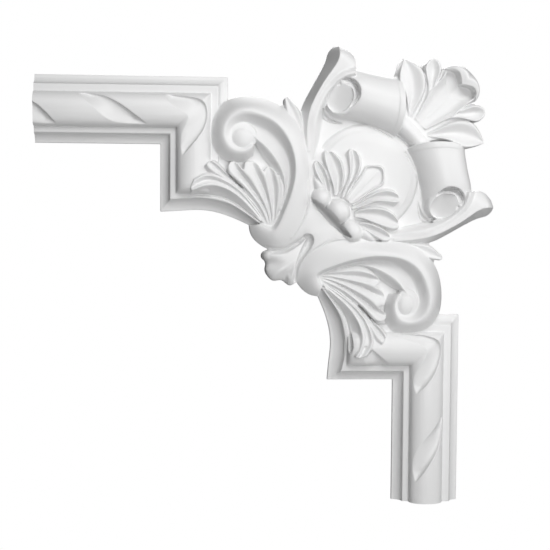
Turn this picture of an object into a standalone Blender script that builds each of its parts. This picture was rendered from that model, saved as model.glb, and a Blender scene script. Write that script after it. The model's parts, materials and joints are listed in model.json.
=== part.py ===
"""Polyurethane corner piece: a stepped moulding whose corner is a scrolled and leafed ornament.

The piece is one casting, made to be fixed flat on a wall or a ceiling. +Z is up, +X is right and
the relief faces -Y. The flat back lies on y = 0. The origin is on the back, where the centre
lines of the two arms would cross. The two halves mirror each other across the line x = z, so
every form is drawn once in millimetres, as plan places and heights over the wall, for the left
half, and laid again for the right half. The halves differ a little, as carved work does.
"""

import math

import bmesh
import bpy
import numpy as np

MM = 0.001
PIECE = "corner_ornament"

# Sizes of the moulding, in millimetres
HALF_WIDTH = 22.5
ARM_REACH = 264.5
STEP_LINE = -159.0
STEP_END = -57.0
CUSP_Z = -67.8
GROOVE_OUT = 15.95
BEAD_OUT = 10.9
BEAD_IN = -11.85
GROOVE_IN = -15.9
EDGE_OUT_HEIGHT = 4.3
BAND_OUT_HEIGHT = 10.4
BEAD_HEIGHT = 18.3
BAND_IN_HEIGHT = 8.6
EDGE_IN_HEIGHT = 2.2
BEAD_LOW = BAND_IN_HEIGHT + 0.3
BEAD_CENTRE = (BEAD_OUT + BEAD_IN) / 2
BEAD_REACH = (BEAD_OUT - BEAD_IN) / 2
BEAD_FULLNESS = 0.8
BEAD_END_HEIGHT = 13.5
HOLLOW_DEPTH = 1.7
HOLLOW_CLEAR = 0.5

# Levels that several forms share, in millimetres over the wall
GROUND = 8.4
NECK = 14.5
FIRST_SINK = 3.0
SINK_STEP = 0.17
OVER_RELIEF = 40.0

# The palmette's disc
DISC_CENTRE = -44.0
DISC_RADIUS = 35.0

# How the right half departs from the left one: place, shift and reach, in millimetres
CARVING_SHIFTS = (
    ((-94.0, -40.0), (-4.0, 3.5), 17.0),
    ((-108.0, -76.0), (-3.5, 2.4), 16.0),
    ((-135.0, -40.0), (-3.5, 4.5), 14.0),
    ((-160.0, -45.0), (-4.0, 3.6), 11.0),
    ((-148.0, -3.0), (-0.5, 1.6), 10.0),
)

SEGMENT_SHAPES = {
    "straight": lambda t: t,
    "round": lambda t: math.sin(t * math.pi / 2),
    "hollow": lambda t: 1 - math.cos(t * math.pi / 2),
}

# How a lobe's tip is rounded: step ahead and half width, as shares of the last half width, and drop
TIP_ROUNDING = ((0.55, 0.82, 0.5), (0.9, 0.42, 1.6))

forms = []


def clear_scene():
    """Removes whatever the scene holds."""
    for old in list(bpy.data.objects):
        bpy.data.objects.remove(old, do_unlink=True)


def new_collection(name):
    """Makes a collection in the scene."""
    collection = bpy.data.collections.new(name)
    bpy.context.scene.collection.children.link(collection)
    return collection


def smooth_curve(points, count):
    """Reads a natural cubic curve through the points, at even steps of their numbering."""
    points = np.asarray(points, float)
    last = len(points) - 1
    matrix = np.eye(last + 1)
    right = np.zeros_like(points)
    for i in range(1, last):
        matrix[i, i - 1:i + 2] = (1 / 6, 2 / 3, 1 / 6)
        right[i] = points[i - 1] - 2 * points[i] + points[i + 1]
    bend = np.linalg.solve(matrix, right)
    place = np.linspace(0, last, count)
    i = np.minimum(place.astype(int), last - 1)
    t = (place - i)[:, None]
    s = 1 - t
    return s * points[i] + t * points[i + 1] + (s ** 3 - s) / 6 * bend[i] + (t ** 3 - t) / 6 * bend[i + 1]


def carving_shift(x, z):
    """Moves a plan place of the left half by what the carver did otherwise on the right half."""
    weight = 0.0
    moved_x, moved_z = 0.0, 0.0
    for (px, pz), (dx, dz), reach in CARVING_SHIFTS:
        w = np.exp(-((x - px) ** 2 + (z - pz) ** 2) / (2 * reach ** 2))
        weight = weight + w
        moved_x = moved_x + w * dx
        moved_z = moved_z + w * dz
    share = np.maximum(weight, 1.0)
    return x + moved_x / share, z + moved_z / share


def lay(rows, side):
    """Turns millimetre rows (x, z, height) into world points, on the left or the right half."""
    rows = np.asarray(rows, float)
    x, z, h = rows[..., 0], rows[..., 1], rows[..., 2]
    if side == "right":
        x, z = carving_shift(x, z)
        x, z = z, x
    return np.stack([x, -h, z], -1) * MM


def add_object(name, bm, collection):
    """Stores a bmesh as a closed object of flat triangles that all point out."""
    bmesh.ops.triangulate(bm, faces=bm.faces)
    bmesh.ops.recalc_face_normals(bm, faces=bm.faces)
    if bm.calc_volume(signed=True) < 0:
        bmesh.ops.reverse_faces(bm, faces=bm.faces)
    mesh = bpy.data.meshes.new(name)
    bm.to_mesh(mesh)
    bm.free()
    item = bpy.data.objects.new(name, mesh)
    collection.objects.link(item)
    return item


def body_from_grid(name, grid, depth, collection):
    """Makes a closed body from a grid of world points, down or up to the plane y = depth."""
    across, along = grid.shape[:2]
    bm = bmesh.new()
    bmesh.ops.create_grid(bm, x_segments=along - 1, y_segments=across - 1, size=1.0)
    bm.verts.ensure_lookup_table()
    for vert, place in zip(bm.verts, grid.reshape(-1, 3)):
        vert.co = place
    skin = bmesh.ops.extrude_face_region(bm, geom=bm.faces[:])
    for item in skin["geom"]:
        if isinstance(item, bmesh.types.BMVert):
            item.co.y = depth
    return add_object(name, bm, collection)


def next_sink():
    """Gives each form its own depth behind the wall plane, so that no two undersides meet."""
    return (FIRST_SINK + SINK_STEP * len(forms)) * MM


def loft(name, rails, count, segments, side, collection, depth=None):
    """Spans a surface across rails of (x, z, height) points and closes it behind the wall.

    segments holds, for each gap between rails, its number of steps and the shape of its height.
    """
    curves = [smooth_curve(rail, count) if count else np.asarray(rail, float) for rail in rails]
    rows = [curves[0]]
    for near, far, (steps, shape) in zip(curves, curves[1:], segments):
        for k in range(1, steps + 1):
            t = k / steps
            row = near * (1 - t) + far * t
            row[:, 2] = near[:, 2] + (far[:, 2] - near[:, 2]) * SEGMENT_SHAPES[shape](t)
            rows.append(row)
    grid = lay(np.array(rows), side)
    if depth is not None:
        return body_from_grid(f"{name}_{side}", grid, depth, collection)
    item = body_from_grid(f"{name}_{side}", grid, next_sink(), collection)
    forms.append(item)
    return item


def lobe(name, spine, widths, side, collection, count=7, flute=1.8, edge_drop=3.0, flute_at=0.0, rim_at=0.62):
    """Makes one fluted leaf lobe along a spine of (x, z, rim height), with its half widths."""
    spine = smooth_curve(spine, count)
    half = smooth_curve([(w, 0.0, 0.0) for w in widths], count)[:, 0]
    heading = spine[-1, :2] - spine[-2, :2]
    heading /= np.linalg.norm(heading)
    tip = spine[-1]
    for ahead, share, drop in TIP_ROUNDING:
        plan = tip[:2] + heading * half[count - 1] * ahead
        spine = np.vstack([spine, (*plan, tip[2] - drop)])
        half = np.append(half, half[count - 1] * share)
    along = np.gradient(spine[:, :2], axis=0)
    along /= np.linalg.norm(along, axis=1)[:, None]
    normal = np.stack([-along[:, 1], along[:, 0]], 1)
    depth = flute * np.minimum(1.0, half / max(half))

    def rail(offset, drop):
        """Gives the rail at an offset in half widths, lowered by drop."""
        plan = spine[:, :2] + normal * (half * offset)[:, None]
        return np.column_stack([plan, spine[:, 2] - drop])

    rails = [
        rail(-1.0, edge_drop),
        rail(-rim_at + flute_at * 0.3, 0.0),
        rail(flute_at, depth),
        rail(rim_at + flute_at * 0.3, 0.0),
        rail(1.0, edge_drop),
    ]
    return loft(name, rails, 0, [(1, "straight")] * 4, side, collection)


def close_below(name, bm, depth, collection):
    """Closes an open relief surface with a wall down to the plane y = depth and a back."""
    wall = bmesh.ops.extrude_edge_only(bm, edges=[edge for edge in bm.edges if edge.is_boundary])
    for item in wall["geom"]:
        if isinstance(item, bmesh.types.BMVert):
            item.co.y = depth
    bmesh.ops.holes_fill(bm, edges=bm.edges, sides=0)
    item = add_object(name, bm, collection)
    forms.append(item)


def dome(name, plan, radii, base, top, turn, side, collection, segments=14, rings=6, fullness=1.0, tilt=0.0):
    """Makes a half ellipsoid on the relief, from its base height to its top height.

    A fullness under 1 flattens its top, and tilt raises its first axis end by that many millimetres.
    """
    bm = bmesh.new()
    bmesh.ops.create_uvsphere(bm, u_segments=segments, v_segments=rings, radius=1.0)
    bmesh.ops.delete(bm, geom=[vert for vert in bm.verts if vert.co.z < -0.01], context="VERTS")
    cosine, sine = math.cos(turn), math.sin(turn)
    for vert in bm.verts:
        a, b, c = vert.co
        u, v = a * radii[0], b * radii[1]
        x = plan[0] + u * cosine - v * sine
        z = plan[1] + u * sine + v * cosine
        rise = (top - base) * max(0.0, c) ** fullness + tilt * a
        vert.co = lay((x, z, base + rise), side)
    close_below(f"{name}_{side}", bm, next_sink(), collection)


def bead_height(offset):
    """Gives the height of the moulding's rounded bead at an offset from its centre line."""
    share = (offset - BEAD_CENTRE) / BEAD_REACH
    round_share = math.sqrt(max(0.0, 1 - share ** 2)) ** BEAD_FULLNESS
    return BEAD_LOW + (BEAD_HEIGHT - BEAD_LOW) * round_share


def moulding_profile():
    """Gives the moulding's section as (offset from its centre line, height) pairs, inner edge first."""
    inner = [(-HALF_WIDTH, EDGE_IN_HEIGHT), (-20.2, 2.7), (-18.0, 4.1), (-16.6, 6.2)]
    inner += [(GROOVE_IN, BAND_IN_HEIGHT), (BEAD_IN, BEAD_LOW)]
    bead = []
    for k in range(1, 8):
        offset = BEAD_CENTRE - BEAD_REACH * math.cos(math.pi * k / 8)
        bead.append((offset, bead_height(offset)))
    outer = [(BEAD_OUT, BAND_OUT_HEIGHT), (GROOVE_OUT, BAND_OUT_HEIGHT)]
    outer += [(17.0, 7.6), (19.0, 5.6), (21.2, 4.6), (HALF_WIDTH, EDGE_OUT_HEIGHT)]
    return inner + bead + outer


def moulding(side, collection):
    """Makes an arm, its mitred outer corner and the step down to the cusp."""
    rails = []
    for offset, height in moulding_profile():
        run_in = (offset - GROOVE_IN) / (-HALF_WIDTH - GROOVE_IN)
        end = STEP_END - 2.5 + (CUSP_Z - STEP_END + 2.5) * max(0.0, run_in)
        rails.append((
            (-ARM_REACH, offset, height),
            (STEP_LINE + offset, offset, height),
            (STEP_LINE + offset, (end + STEP_END) / 2 + 14.0, height),
            (STEP_LINE + offset, end, min(height, BEAD_END_HEIGHT)),
        ))
    return loft("moulding", rails, 0, [(1, "straight")] * (len(rails) - 1), side, collection)


def twist_hollows(collection):
    """Makes the cutters of the long leaf-shaped hollows that twist round the bead.

    The twist turns the same way on both arms, so each arm has its own hollows, and only their
    places are given in the left half's terms. Each is a low border and a high border.
    """
    hollows = (
        ("left",
         ((-284, -2), (-272, -8), (-262, -10.4), (-251, -10.6)),
         ((-284, 7), (-268, 5), (-258, -1), (-249.5, -10.2))),
        ("left",
         ((-236, 9.2), (-226, 1), (-215, -8), (-203, -10), (-191, -10.4)),
         ((-235, 9.6), (-220, 8.6), (-207, 2.6), (-198, -4), (-190, -10))),
        ("left",
         ((-182, 9), (-172, 0.4), (-164.6, -6.6), (-167.2, -18), (-167.6, -31)),
         ((-181, 9.6), (-161, 8.8), (-150.8, -2), (-153.6, -17.4), (-166.8, -31))),
        ("right",
         ((-250, -8.6), (-238, -10.3), (-226, -7), (-216, 1), (-208, 7.4)),
         ((-249, -7.4), (-239.5, -0.4), (-228, 6.4), (-217, 9.4), (-204, 10.2))),
        ("right",
         ((-190, -8.4), (-176, -9.8), (-161.5, -2), (-153.5, -12), (-150, -26)),
         ((-189, -7.6), (-175, 4), (-156, 7.6), (-149.6, -6), (-148.8, -26))),
        ("right",
         ((-172, -27), (-171, -36), (-170, -45)),
         ((-167.6, -26), (-163, -33), (-158.5, -41))),
    )
    for number, (side, low, high) in enumerate(hollows):
        count = 3 * len(low) - 2
        low = smooth_curve(low, count)
        high = smooth_curve(high, count)
        rails = []
        for share, depth in ((0.0, -HOLLOW_CLEAR), (0.25, HOLLOW_DEPTH), (0.82, HOLLOW_DEPTH), (1.0, -HOLLOW_CLEAR)):
            rail = []
            for x, z in low * (1 - share) + high * share:
                rail.append((x, z, bead_height(max(z, x - STEP_LINE)) - depth))
            rails.append(rail)
        loft(f"hollow_{number}", rails, 0, [(1, "straight")] * 3, side, collection, depth=-OVER_RELIEF * MM)


def foot_arc(side, collection):
    """Makes the hollow edge and narrow band that run from the cusp to the scroll's foot."""
    edge = [(-181.5, CUSP_Z, 2.2), (-168, -67.0, 2.4), (-155, -66.4, 2.6), (-143, -68.1, 2.8),
            (-132, -71.8, 3.0), (-121.5, -76.4, 3.4)]
    low = [(-178.7, -63.6, 3.2), (-166.5, -62.8, 3.4), (-154.6, -62.3, 3.6), (-143.3, -63.9, 3.8),
           (-132, -67.5, 4.0), (-118.5, -75.4, 5.0)]
    groove = [(-174.9, -59.4, 8.4), (-165, -58.6, 8.6), (-154.2, -58.2, 8.8), (-143.6, -59.6, 9.0),
              (-132.4, -63.2, 9.2), (-115.5, -74.2, 10.0)]
    band = [(-171, -56.8, 8.8), (-162, -56.2, 9.0), (-153.8, -55.8, 9.2), (-143.6, -57.2, 9.4),
            (-132, -60.8, 9.8), (-114, -72.4, 10.4)]
    inner = [(-166, -53, 9.2), (-158, -52.6, 9.6), (-150, -52.4, 10.0), (-140, -53, 10.4),
             (-128, -57, 10.8), (-110, -69.5, 11.4)]
    shapes = [(1, "straight"), (2, "hollow"), (1, "straight"), (1, "straight")]
    loft("foot_arc", [edge, low, groove, band, inner], 8, shapes, side, collection)


def ground(collection):
    """Makes the flat ground under the whole ornament, from the outline of its left half."""
    half = [(-90, -90), (-100, -89), (-108, -89), (-117, -82), (-119, -76), (-132, -69), (-150, -63.5),
            (-170, -62), (-172, -40), (-160, -10), (-146, -3), (-138, 3.5), (-121, 6.5), (-106, 3.5), (-97, 4),
            (-91, 1), (-86, 0), (-79, 14), (-71, 30), (-66, 39), (-58, 37), (-53, 27), (-30, 20), (-22, 25),
            (-19, 32), (-9, 28), (-2, 33), (4, 28), (16, 29), (23, 23)]
    rows = [(x, z, GROUND) for x, z in half]
    outline = [*lay(rows, "left"), *lay(rows[1:-1], "right")[::-1]]
    bm = bmesh.new()
    bmesh.ops.create_circle(bm, cap_ends=True, radius=1.0, segments=len(outline))
    bm.verts.ensure_lookup_table()
    for vert, place in zip(bm.verts, outline):
        vert.co = place
    skin = bmesh.ops.extrude_face_region(bm, geom=bm.faces[:])
    depth = next_sink()
    for item in skin["geom"]:
        if isinstance(item, bmesh.types.BMVert):
            item.co.y = depth
    forms.append(add_object("ground", bm, collection))


def c_scroll(side, collection):
    """Makes the scroll's band: its outer slope, its sharp ridge and the steep wall inside it."""
    stations = (
        ((-121.8, -77.0, 6.0), (-115.0, -75.5, 11.0), (-112.0, -74.0, 10.0)),
        ((-118.0, -86.3, 5.5), (-110.5, -78.6, 13.0), (-109.0, -75.5, 10.0)),
        ((-104.0, -93.4, 7.0), (-105.6, -79.6, 15.0), (-106.5, -76.5, 10.0)),
        ((-91.5, -84.5, 12.5), (-101.6, -73.5, 17.0), (-103.6, -72.8, 11.0)),
        ((-85.2, -67.0, 15.5), (-96.6, -61.0, 20.0), (-98.8, -60.3, 12.5)),
        ((-83.2, -48.0, 16.0), (-92.5, -44.5, 22.5), (-95.1, -44.2, 14.0)),
        ((-84.2, -28.0, 15.6), (-93.8, -27.5, 23.5), (-97.4, -29.0, 14.0)),
        ((-90.0, -8.5, 13.0), (-102.6, -11.6, 24.0), (-106.8, -16.3, 14.0)),
        ((-104.0, 5.0, 9.5), (-115.6, -3.6, 23.8), (-117.6, -10.5, 14.0)),
        ((-121.5, 9.4, 8.5), (-127.6, -1.7, 23.3), (-127.0, -9.6, 16.4)),
        ((-138.5, 5.6, 8.8), (-136.3, -6.8, 22.5), (-132.6, -11.6, 17.4)),
        ((-148.4, -11.0, 10.4), (-139.4, -16.2, 21.6), (-134.6, -16.8, 18.0)),
        ((-143.6, -29.0, 10.4), (-134.6, -25.0, 20.8), (-131.4, -22.4, 18.2)),
        ((-130.0, -34.2, 10.4), (-126.0, -26.9, 20.2), (-126.6, -24.0, 18.2)),
        ((-119.6, -29.5, 11.0), (-120.0, -22.6, 19.6), (-122.4, -21.2, 18.3)),
    )
    rails = [[station[k] for station in stations] for k in range(3)]
    loft("scroll_band", rails, 27, [(3, "round"), (1, "straight")], side, collection)
    floor = [(-127.0, -9.4, 16.2), (-117.6, -10.6, 14.2), (-106.8, -16.5, 13.8), (-98.6, -27.5, 13.6),
             (-95.4, -41.0, 13.2), (-97.2, -54.0, 12.6), (-101.2, -66.0, 11.5)]
    crest = [(-122.4, -15.2, 18.4), (-117.2, -19.6, 18.4), (-110.8, -25.0, 17.6), (-104.2, -33.5, 17.0),
             (-99.6, -43.5, 16.2), (-99.0, -55.0, 14.4), (-102.2, -66.0, 12.4)]
    under = [(-122.0, -18.4, 17.0), (-118.0, -22.6, 14.0), (-113.8, -29.6, 10.0), (-107.6, -37.8, 9.6),
             (-102.0, -46.0, 9.6), (-100.6, -56.0, 9.4), (-103.4, -66.0, 9.2)]
    loft("scroll_strand", [floor, crest, under], 10, [(2, "hollow"), (1, "straight")], side, collection)
    dome("scroll_bed", (-127.2, -17.6), (9.6, 9.4), 15.0, 18.3, 0.0, side, collection, 12, 6, fullness=0.3)
    dome("scroll_eye", (-127.2, -18.9), (7.4, 7.0), 15.7, 20.6, 0.1, side, collection, 14, 6, fullness=0.6)


def leaf(side, collection):
    """Makes the fan of lobes inside the scroll and the two small lobes over the step."""
    heights = (11.0, 12.8, 14.8, 16.8, 18.2, 17.2)
    curl_rise = (0.0, 0.0, 0.3, 0.8, 1.6, 3.2)
    fan = (
        ("leaf_left", ((-109.5, -74.5), (-113.0, -67.0), (-117.3, -59.0), (-122.5, -50.0), (-129.0, -42.0),
                       (-134.2, -37.2)), (1.2, 2.0, 3.2, 4.6, 5.2, 2.6)),
        ("leaf_middle", ((-108.3, -75.0), (-109.3, -68.0), (-111.2, -59.0), (-114.0, -50.0), (-118.0, -41.0),
                         (-121.6, -34.8)), (1.0, 1.7, 2.7, 4.0, 5.4, 3.2)),
        ("leaf_right", ((-107.0, -75.5), (-106.0, -68.0), (-105.2, -59.0), (-105.2, -50.0), (-107.0, -42.5),
                        (-109.0, -38.6)), (1.0, 1.8, 3.2, 4.4, 4.8, 2.6)),
        ("leaf_curl_high", ((-112.0, -73.0), (-120.0, -62.5), (-128.5, -53.0), (-137.5, -44.5),
                            (-145.5, -38.6), (-151.0, -37.0)), (1.2, 2.2, 3.2, 3.8, 4.2, 3.0)),
        ("leaf_curl_low", ((-113.0, -75.0), (-122.0, -63.5), (-132.0, -55.5), (-143.0, -50.6),
                           (-153.0, -49.4), (-159.4, -51.4)), (1.4, 2.4, 3.0, 3.6, 4.6, 3.6)),
    )
    for name, places, widths in fan:
        rise = curl_rise if "curl" in name else (0.0,) * len(heights)
        spine = [(x, z, h + r) for (x, z), h, r in zip(places, heights, rise)]
        lobe(name, spine, widths, side, collection, count=7, edge_drop=2.6)
    back = [(-88.0, -18.6, 15.2), (-90.2, -9.5, 14.5), (-93.4, -1.5, 13.8), (-96.8, 6.2, 12.5)]
    lobe("leaf_back", back, (1.4, 3.5, 4.8, 2.2), side, collection, count=5, flute=1.0)


def ribbon(side, collection):
    """Makes the ribbon that climbs from the neck, its pointed leaf and its turn into the roll."""
    foot = [(-84.6, -27.0, 14.4), (-87.4, -12.0, 11.0), (-87.0, 1.0, 8.0), (-82.5, 12.0, 6.0),
            (-76.4, 23.2, 5.0), (-71.2, 33.5, 5.0), (-69.2, 40.0, 5.5), (-66.0, 43.6, 6.5)]
    crest = [(-84.0, -27.0, 16.0), (-84.4, -12.0, 17.6), (-82.4, 1.0, 18.6), (-77.6, 12.0, 19.6),
             (-71.6, 22.0, 20.6), (-65.4, 31.0, 21.4), (-63.4, 38.0, 21.0), (-63.6, 43.0, 14.0)]
    back = [(-82.0, -27.0, 16.0), (-82.0, -12.0, 17.6), (-80.0, 1.0, 18.6), (-75.6, 12.6, 18.6),
            (-66.0, 24.0, 18.6), (-54.0, 30.5, 17.0), (-53.6, 36.5, 15.0), (-58.5, 41.8, 12.0)]
    loft("ribbon_leaf", [foot, crest, back], 11, [(1, "straight"), (2, "hollow")], side, collection)
    left = [(-83.8, -36.0, 14.6), (-84.0, -12.0, 17.2), (-82.0, 1.0, 18.0), (-77.0, 11.5, 18.2),
            (-69.5, 20.0, 19.0), (-61.0, 26.2, 20.0), (-52.0, 29.0, 18.0)]
    middle = [(-80.6, -38.0, 13.4), (-79.6, -12.0, 18.0), (-77.4, 0.0, 18.8), (-73.4, 9.0, 19.2),
              (-68.2, 16.4, 19.8), (-61.0, 22.4, 21.6), (-53.0, 25.0, 22.4)]
    right = [(-78.4, -40.0, 11.4), (-75.0, -12.5, 12.0), (-72.8, -1.0, 12.4), (-70.4, 7.0, 13.6),
             (-66.4, 13.6, 15.0), (-60.5, 19.0, 16.0), (-52.0, 21.0, 18.0)]
    loft("ribbon_face", [left, middle, right], 10, [(1, "round"), (2, "round")], side, collection)


def roll(side, collection):
    """Makes the rolled scroll that flares to its mouth, with the slanted eye at its tight end."""
    stations = (
        ((-57.5, 27.0), (-53.0, -4.6), 23.0, 4.6),
        ((-51.0, 28.6), (-50.5, -6.0), 25.0, 2.5),
        ((-43.0, 26.8), (-43.5, -7.6), 25.6, 1.0),
        ((-34.5, 24.9), (-36.0, -10.6), 26.0, 1.4),
        ((-24.2, 23.2), (-25.2, -16.2), 26.4, 3.6),
    )
    rails = []
    steps = 8
    for k in range(steps + 1):
        angle = math.pi * k / steps
        rail = []
        for (tx, tz), (bx, bz), crown, bow in stations:
            side_share = (1 - math.cos(angle)) / 2
            x = tx + (bx - tx) * side_share + bow * math.sin(angle)
            z = tz + (bz - tz) * side_share
            rail.append((x, z, GROUND - 1.5 + (crown - GROUND + 1.5) * math.sin(angle) ** 0.85))
        rails.append(rail)
    loft("roll", rails, 7, [(1, "straight")] * steps, side, collection)
    dome("roll_eye", (-61.6, 8.0), (7.6, 9.4), 12.6, 17.6, math.radians(-22), side, collection, 14, 6,
         fullness=0.35, tilt=3.2)
    under_top = [(-70.0, 4.0, 12.5), (-65.0, 2.4, 14.0), (-58.0, 2.4, 16.5), (-50.0, 5.0, 22.0),
                 (-46.0, 5.0, 23.0)]
    under_bottom = [(-70.4, -1.0, 8.0), (-66.0, -4.4, 7.6), (-59.0, -5.8, 7.4), (-50.5, -6.6, 7.2),
                    (-46.0, -7.2, 7.0)]
    loft("roll_under", [under_top, under_bottom], 6, [(3, "hollow")], side, collection)


def disc(collection):
    """Makes the smooth disc behind the palmette."""
    bm = bmesh.new()
    segments = 32
    profile = ((DISC_RADIUS + 0.8, 9.0), (DISC_RADIUS - 0.6, 10.8), (DISC_RADIUS - 4.0, 12.4), (12.0, 14.9))
    rings = []
    for radius, height in profile:
        ring = []
        for k in range(segments):
            angle = 2 * math.pi * k / segments
            place = (DISC_CENTRE + radius * math.cos(angle), DISC_CENTRE + radius * math.sin(angle), height)
            ring.append(bm.verts.new(lay(place, "left")))
        rings.append([bm.edges.new((ring[k], ring[(k + 1) % segments])) for k in range(segments)])
    for low, high in zip(rings, rings[1:]):
        bmesh.ops.bridge_loops(bm, edges=low + high)
    bmesh.ops.edgeloop_fill(bm, edges=rings[-1])
    close_below("disc", bm, next_sink(), collection)


def palmette(side, collection):
    """Makes one half of the palmette: its curved lobes and its side bead."""
    lobes = (
        ("palmette_inner", ((-61.0, -58.2), (-57.8, -51.0), (-54.6, -43.0), (-53.4, -36.0), (-55.0, -29.6)),
         (1.4, 3.4, 4.8, 5.0, 3.2)),
        ("palmette_second", ((-64.0, -58.0), (-63.8, -50.0), (-64.6, -42.0), (-66.8, -35.5), (-69.8, -30.4)),
         (1.4, 3.0, 4.4, 5.0, 3.6)),
        ("palmette_third", ((-69.3, -55.6), (-71.4, -48.0), (-74.2, -42.0), (-77.4, -37.6)),
         (1.4, 3.0, 3.8, 2.8)),
        ("palmette_last", ((-73.1, -54.4), (-76.2, -50.6), (-78.8, -46.5)), (1.3, 2.4, 1.8)),
    )
    for name, places, widths in lobes:
        last = len(places) - 1
        spine = [(x, z, 19.4 - 1.2 * abs(2 * k / last - 1) ** 2) for k, (x, z) in enumerate(places)]
        lobe(name, spine, widths, side, collection, count=6, flute=2.4, edge_drop=4.0, flute_at=-0.15)
    dome("bead_side", (-74.8, -57.0), (7.0, 6.0), 12.0, 22.6, math.radians(-34), side, collection, 12, 6,
         fullness=0.75)


def palmette_middle(collection):
    """Makes the flat spade-shaped lobe on the axis, the middle bead and the rod beyond the disc."""
    half = ((-60.5, -58.5), (-53.0, -50.5), (-48.0, -42.0), (-44.6, -36.2), (-42.0, -34.6), (-37.0, -34.0),
            (-35.2, -33.8))
    axis = [(-59.5 + 25.1 * k / 6, -59.6 + 25.1 * k / 6) for k in range(7)]
    rails = [
        [(x, z, 16.2) for x, z in half],
        [((3 * x + a) / 4, (3 * z + b) / 4, 18.6) for (x, z), (a, b) in zip(half, axis)],
        [(a, b, 18.0) for a, b in axis],
        [((3 * z + a) / 4, (3 * x + b) / 4, 18.6) for (x, z), (a, b) in zip(half, axis)],
        [(z, x, 16.2) for x, z in half],
    ]
    loft("palmette_spade", rails, 0, [(1, "straight")] * 4, "left", collection)
    dome("bead_middle", (-64.6, -64.7), (8.0, 6.6), 12.0, 23.4, math.radians(-45.5), "left", collection, 12, 6,
         fullness=0.75)
    dome("rod", (-14.6, -14.5), (19.0, 7.0), 9.0, 18.6, math.radians(-45.5), "left", collection, 14, 6,
         fullness=0.8)


def neck(collection):
    """Makes the smooth neck under the palmette, and the three-lobed pendant at its foot."""
    left = [(-83.6, -20.0, 15.4), (-85.4, -34.0, 16.0), (-85.6, -48.0, 16.2), (-86.6, -62.0, 15.6),
            (-90.0, -74.0, 14.4), (-92.6, -84.2, 12.6)]
    near = [(-77.0, -20.0, 11.4), (-77.0, -35.0, 13.4), (-77.4, -48.0, 14.2), (-79.6, -62.0, 14.8),
            (-83.0, -72.6, 14.8), (-86.4, -81.8, 13.2)]
    axis = [(-52.0, -52.0, 11.5), (-58.0, -58.0, 11.6), (-64.0, -64.0, 11.8), (-70.2, -70.2, 13.2),
            (-76.0, -76.0, NECK), (-81.0, -81.0, 13.6)]
    rails = [left, near, axis, [(z, x, h) for x, z, h in near], [(z, x, h) for x, z, h in left]]
    loft("neck", rails, 8, [(1, "straight")] * 4, "left", collection)
    middle = [(-85.4, -85.2, 12.4), (-92.0, -92.2, 14.8), (-99.0, -100.0, 15.4), (-104.0, -106.6, 13.6)]
    lobe("pendant_middle", middle, (1.2, 4.4, 6.4, 5.6), "left", collection, count=6, flute=-1.6)
    for side in ("left", "right"):
        outer = [(-86.4, -87.0, 12.0), (-96.0, -93.4, 14.0), (-104.0, -96.6, 14.4), (-109.6, -97.0, 13.0)]
        lobe("pendant_side", outer, (1.2, 3.2, 4.6, 4.2), side, collection, count=6, flute=-1.2)


def shell_half(side, collection):
    """Makes one half of the shell leaf: a side leaf and a small round lobe."""
    left = [(-16.4, -5.0, 14.0), (-17.4, 5.0, 14.0), (-19.4, 13.5, 13.0), (-23.4, 21.0, 12.0),
            (-20.2, 36.0, 10.0)]
    plateau = [(-15.8, -5.0, 15.6), (-15.8, 5.0, 17.4), (-17.0, 14.0, 18.6), (-19.0, 23.0, 18.6),
               (-19.6, 35.8, 14.0)]
    vein = [(-15.2, -5.0, 15.8), (-14.2, 5.0, 17.8), (-14.4, 14.5, 19.0), (-15.8, 23.5, 18.8),
            (-18.8, 35.4, 14.0)]
    valley = [(-14.6, -5.0, 15.2), (-12.8, 5.5, 16.2), (-12.4, 15.0, 16.8), (-13.0, 24.5, 16.4),
              (-16.4, 34.6, 13.0)]
    rim = [(-14.0, -5.0, 15.2), (-9.4, 6.0, 17.2), (-6.8, 15.5, 18.4), (-6.4, 24.5, 17.6),
           (-11.0, 31.4, 13.0)]
    right = [(-13.4, -5.0, 14.0), (-8.2, 6.0, 14.4), (-5.2, 15.5, 14.0), (-4.6, 24.5, 13.0),
             (-9.4, 30.4, 10.0)]
    loft("shell_side", [left, plateau, vein, valley, rim, right], 7, [(1, "straight")] * 5, side, collection)
    small = [(0.6, 15.5, 15.8), (-0.2, 22.0, 18.0), (-1.4, 27.5, 18.6), (-1.9, 31.2, 17.4)]
    lobe("shell_small", small, (1.6, 3.6, 5.2, 5.0), side, collection, count=5, flute=1.6, edge_drop=5.0)


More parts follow.
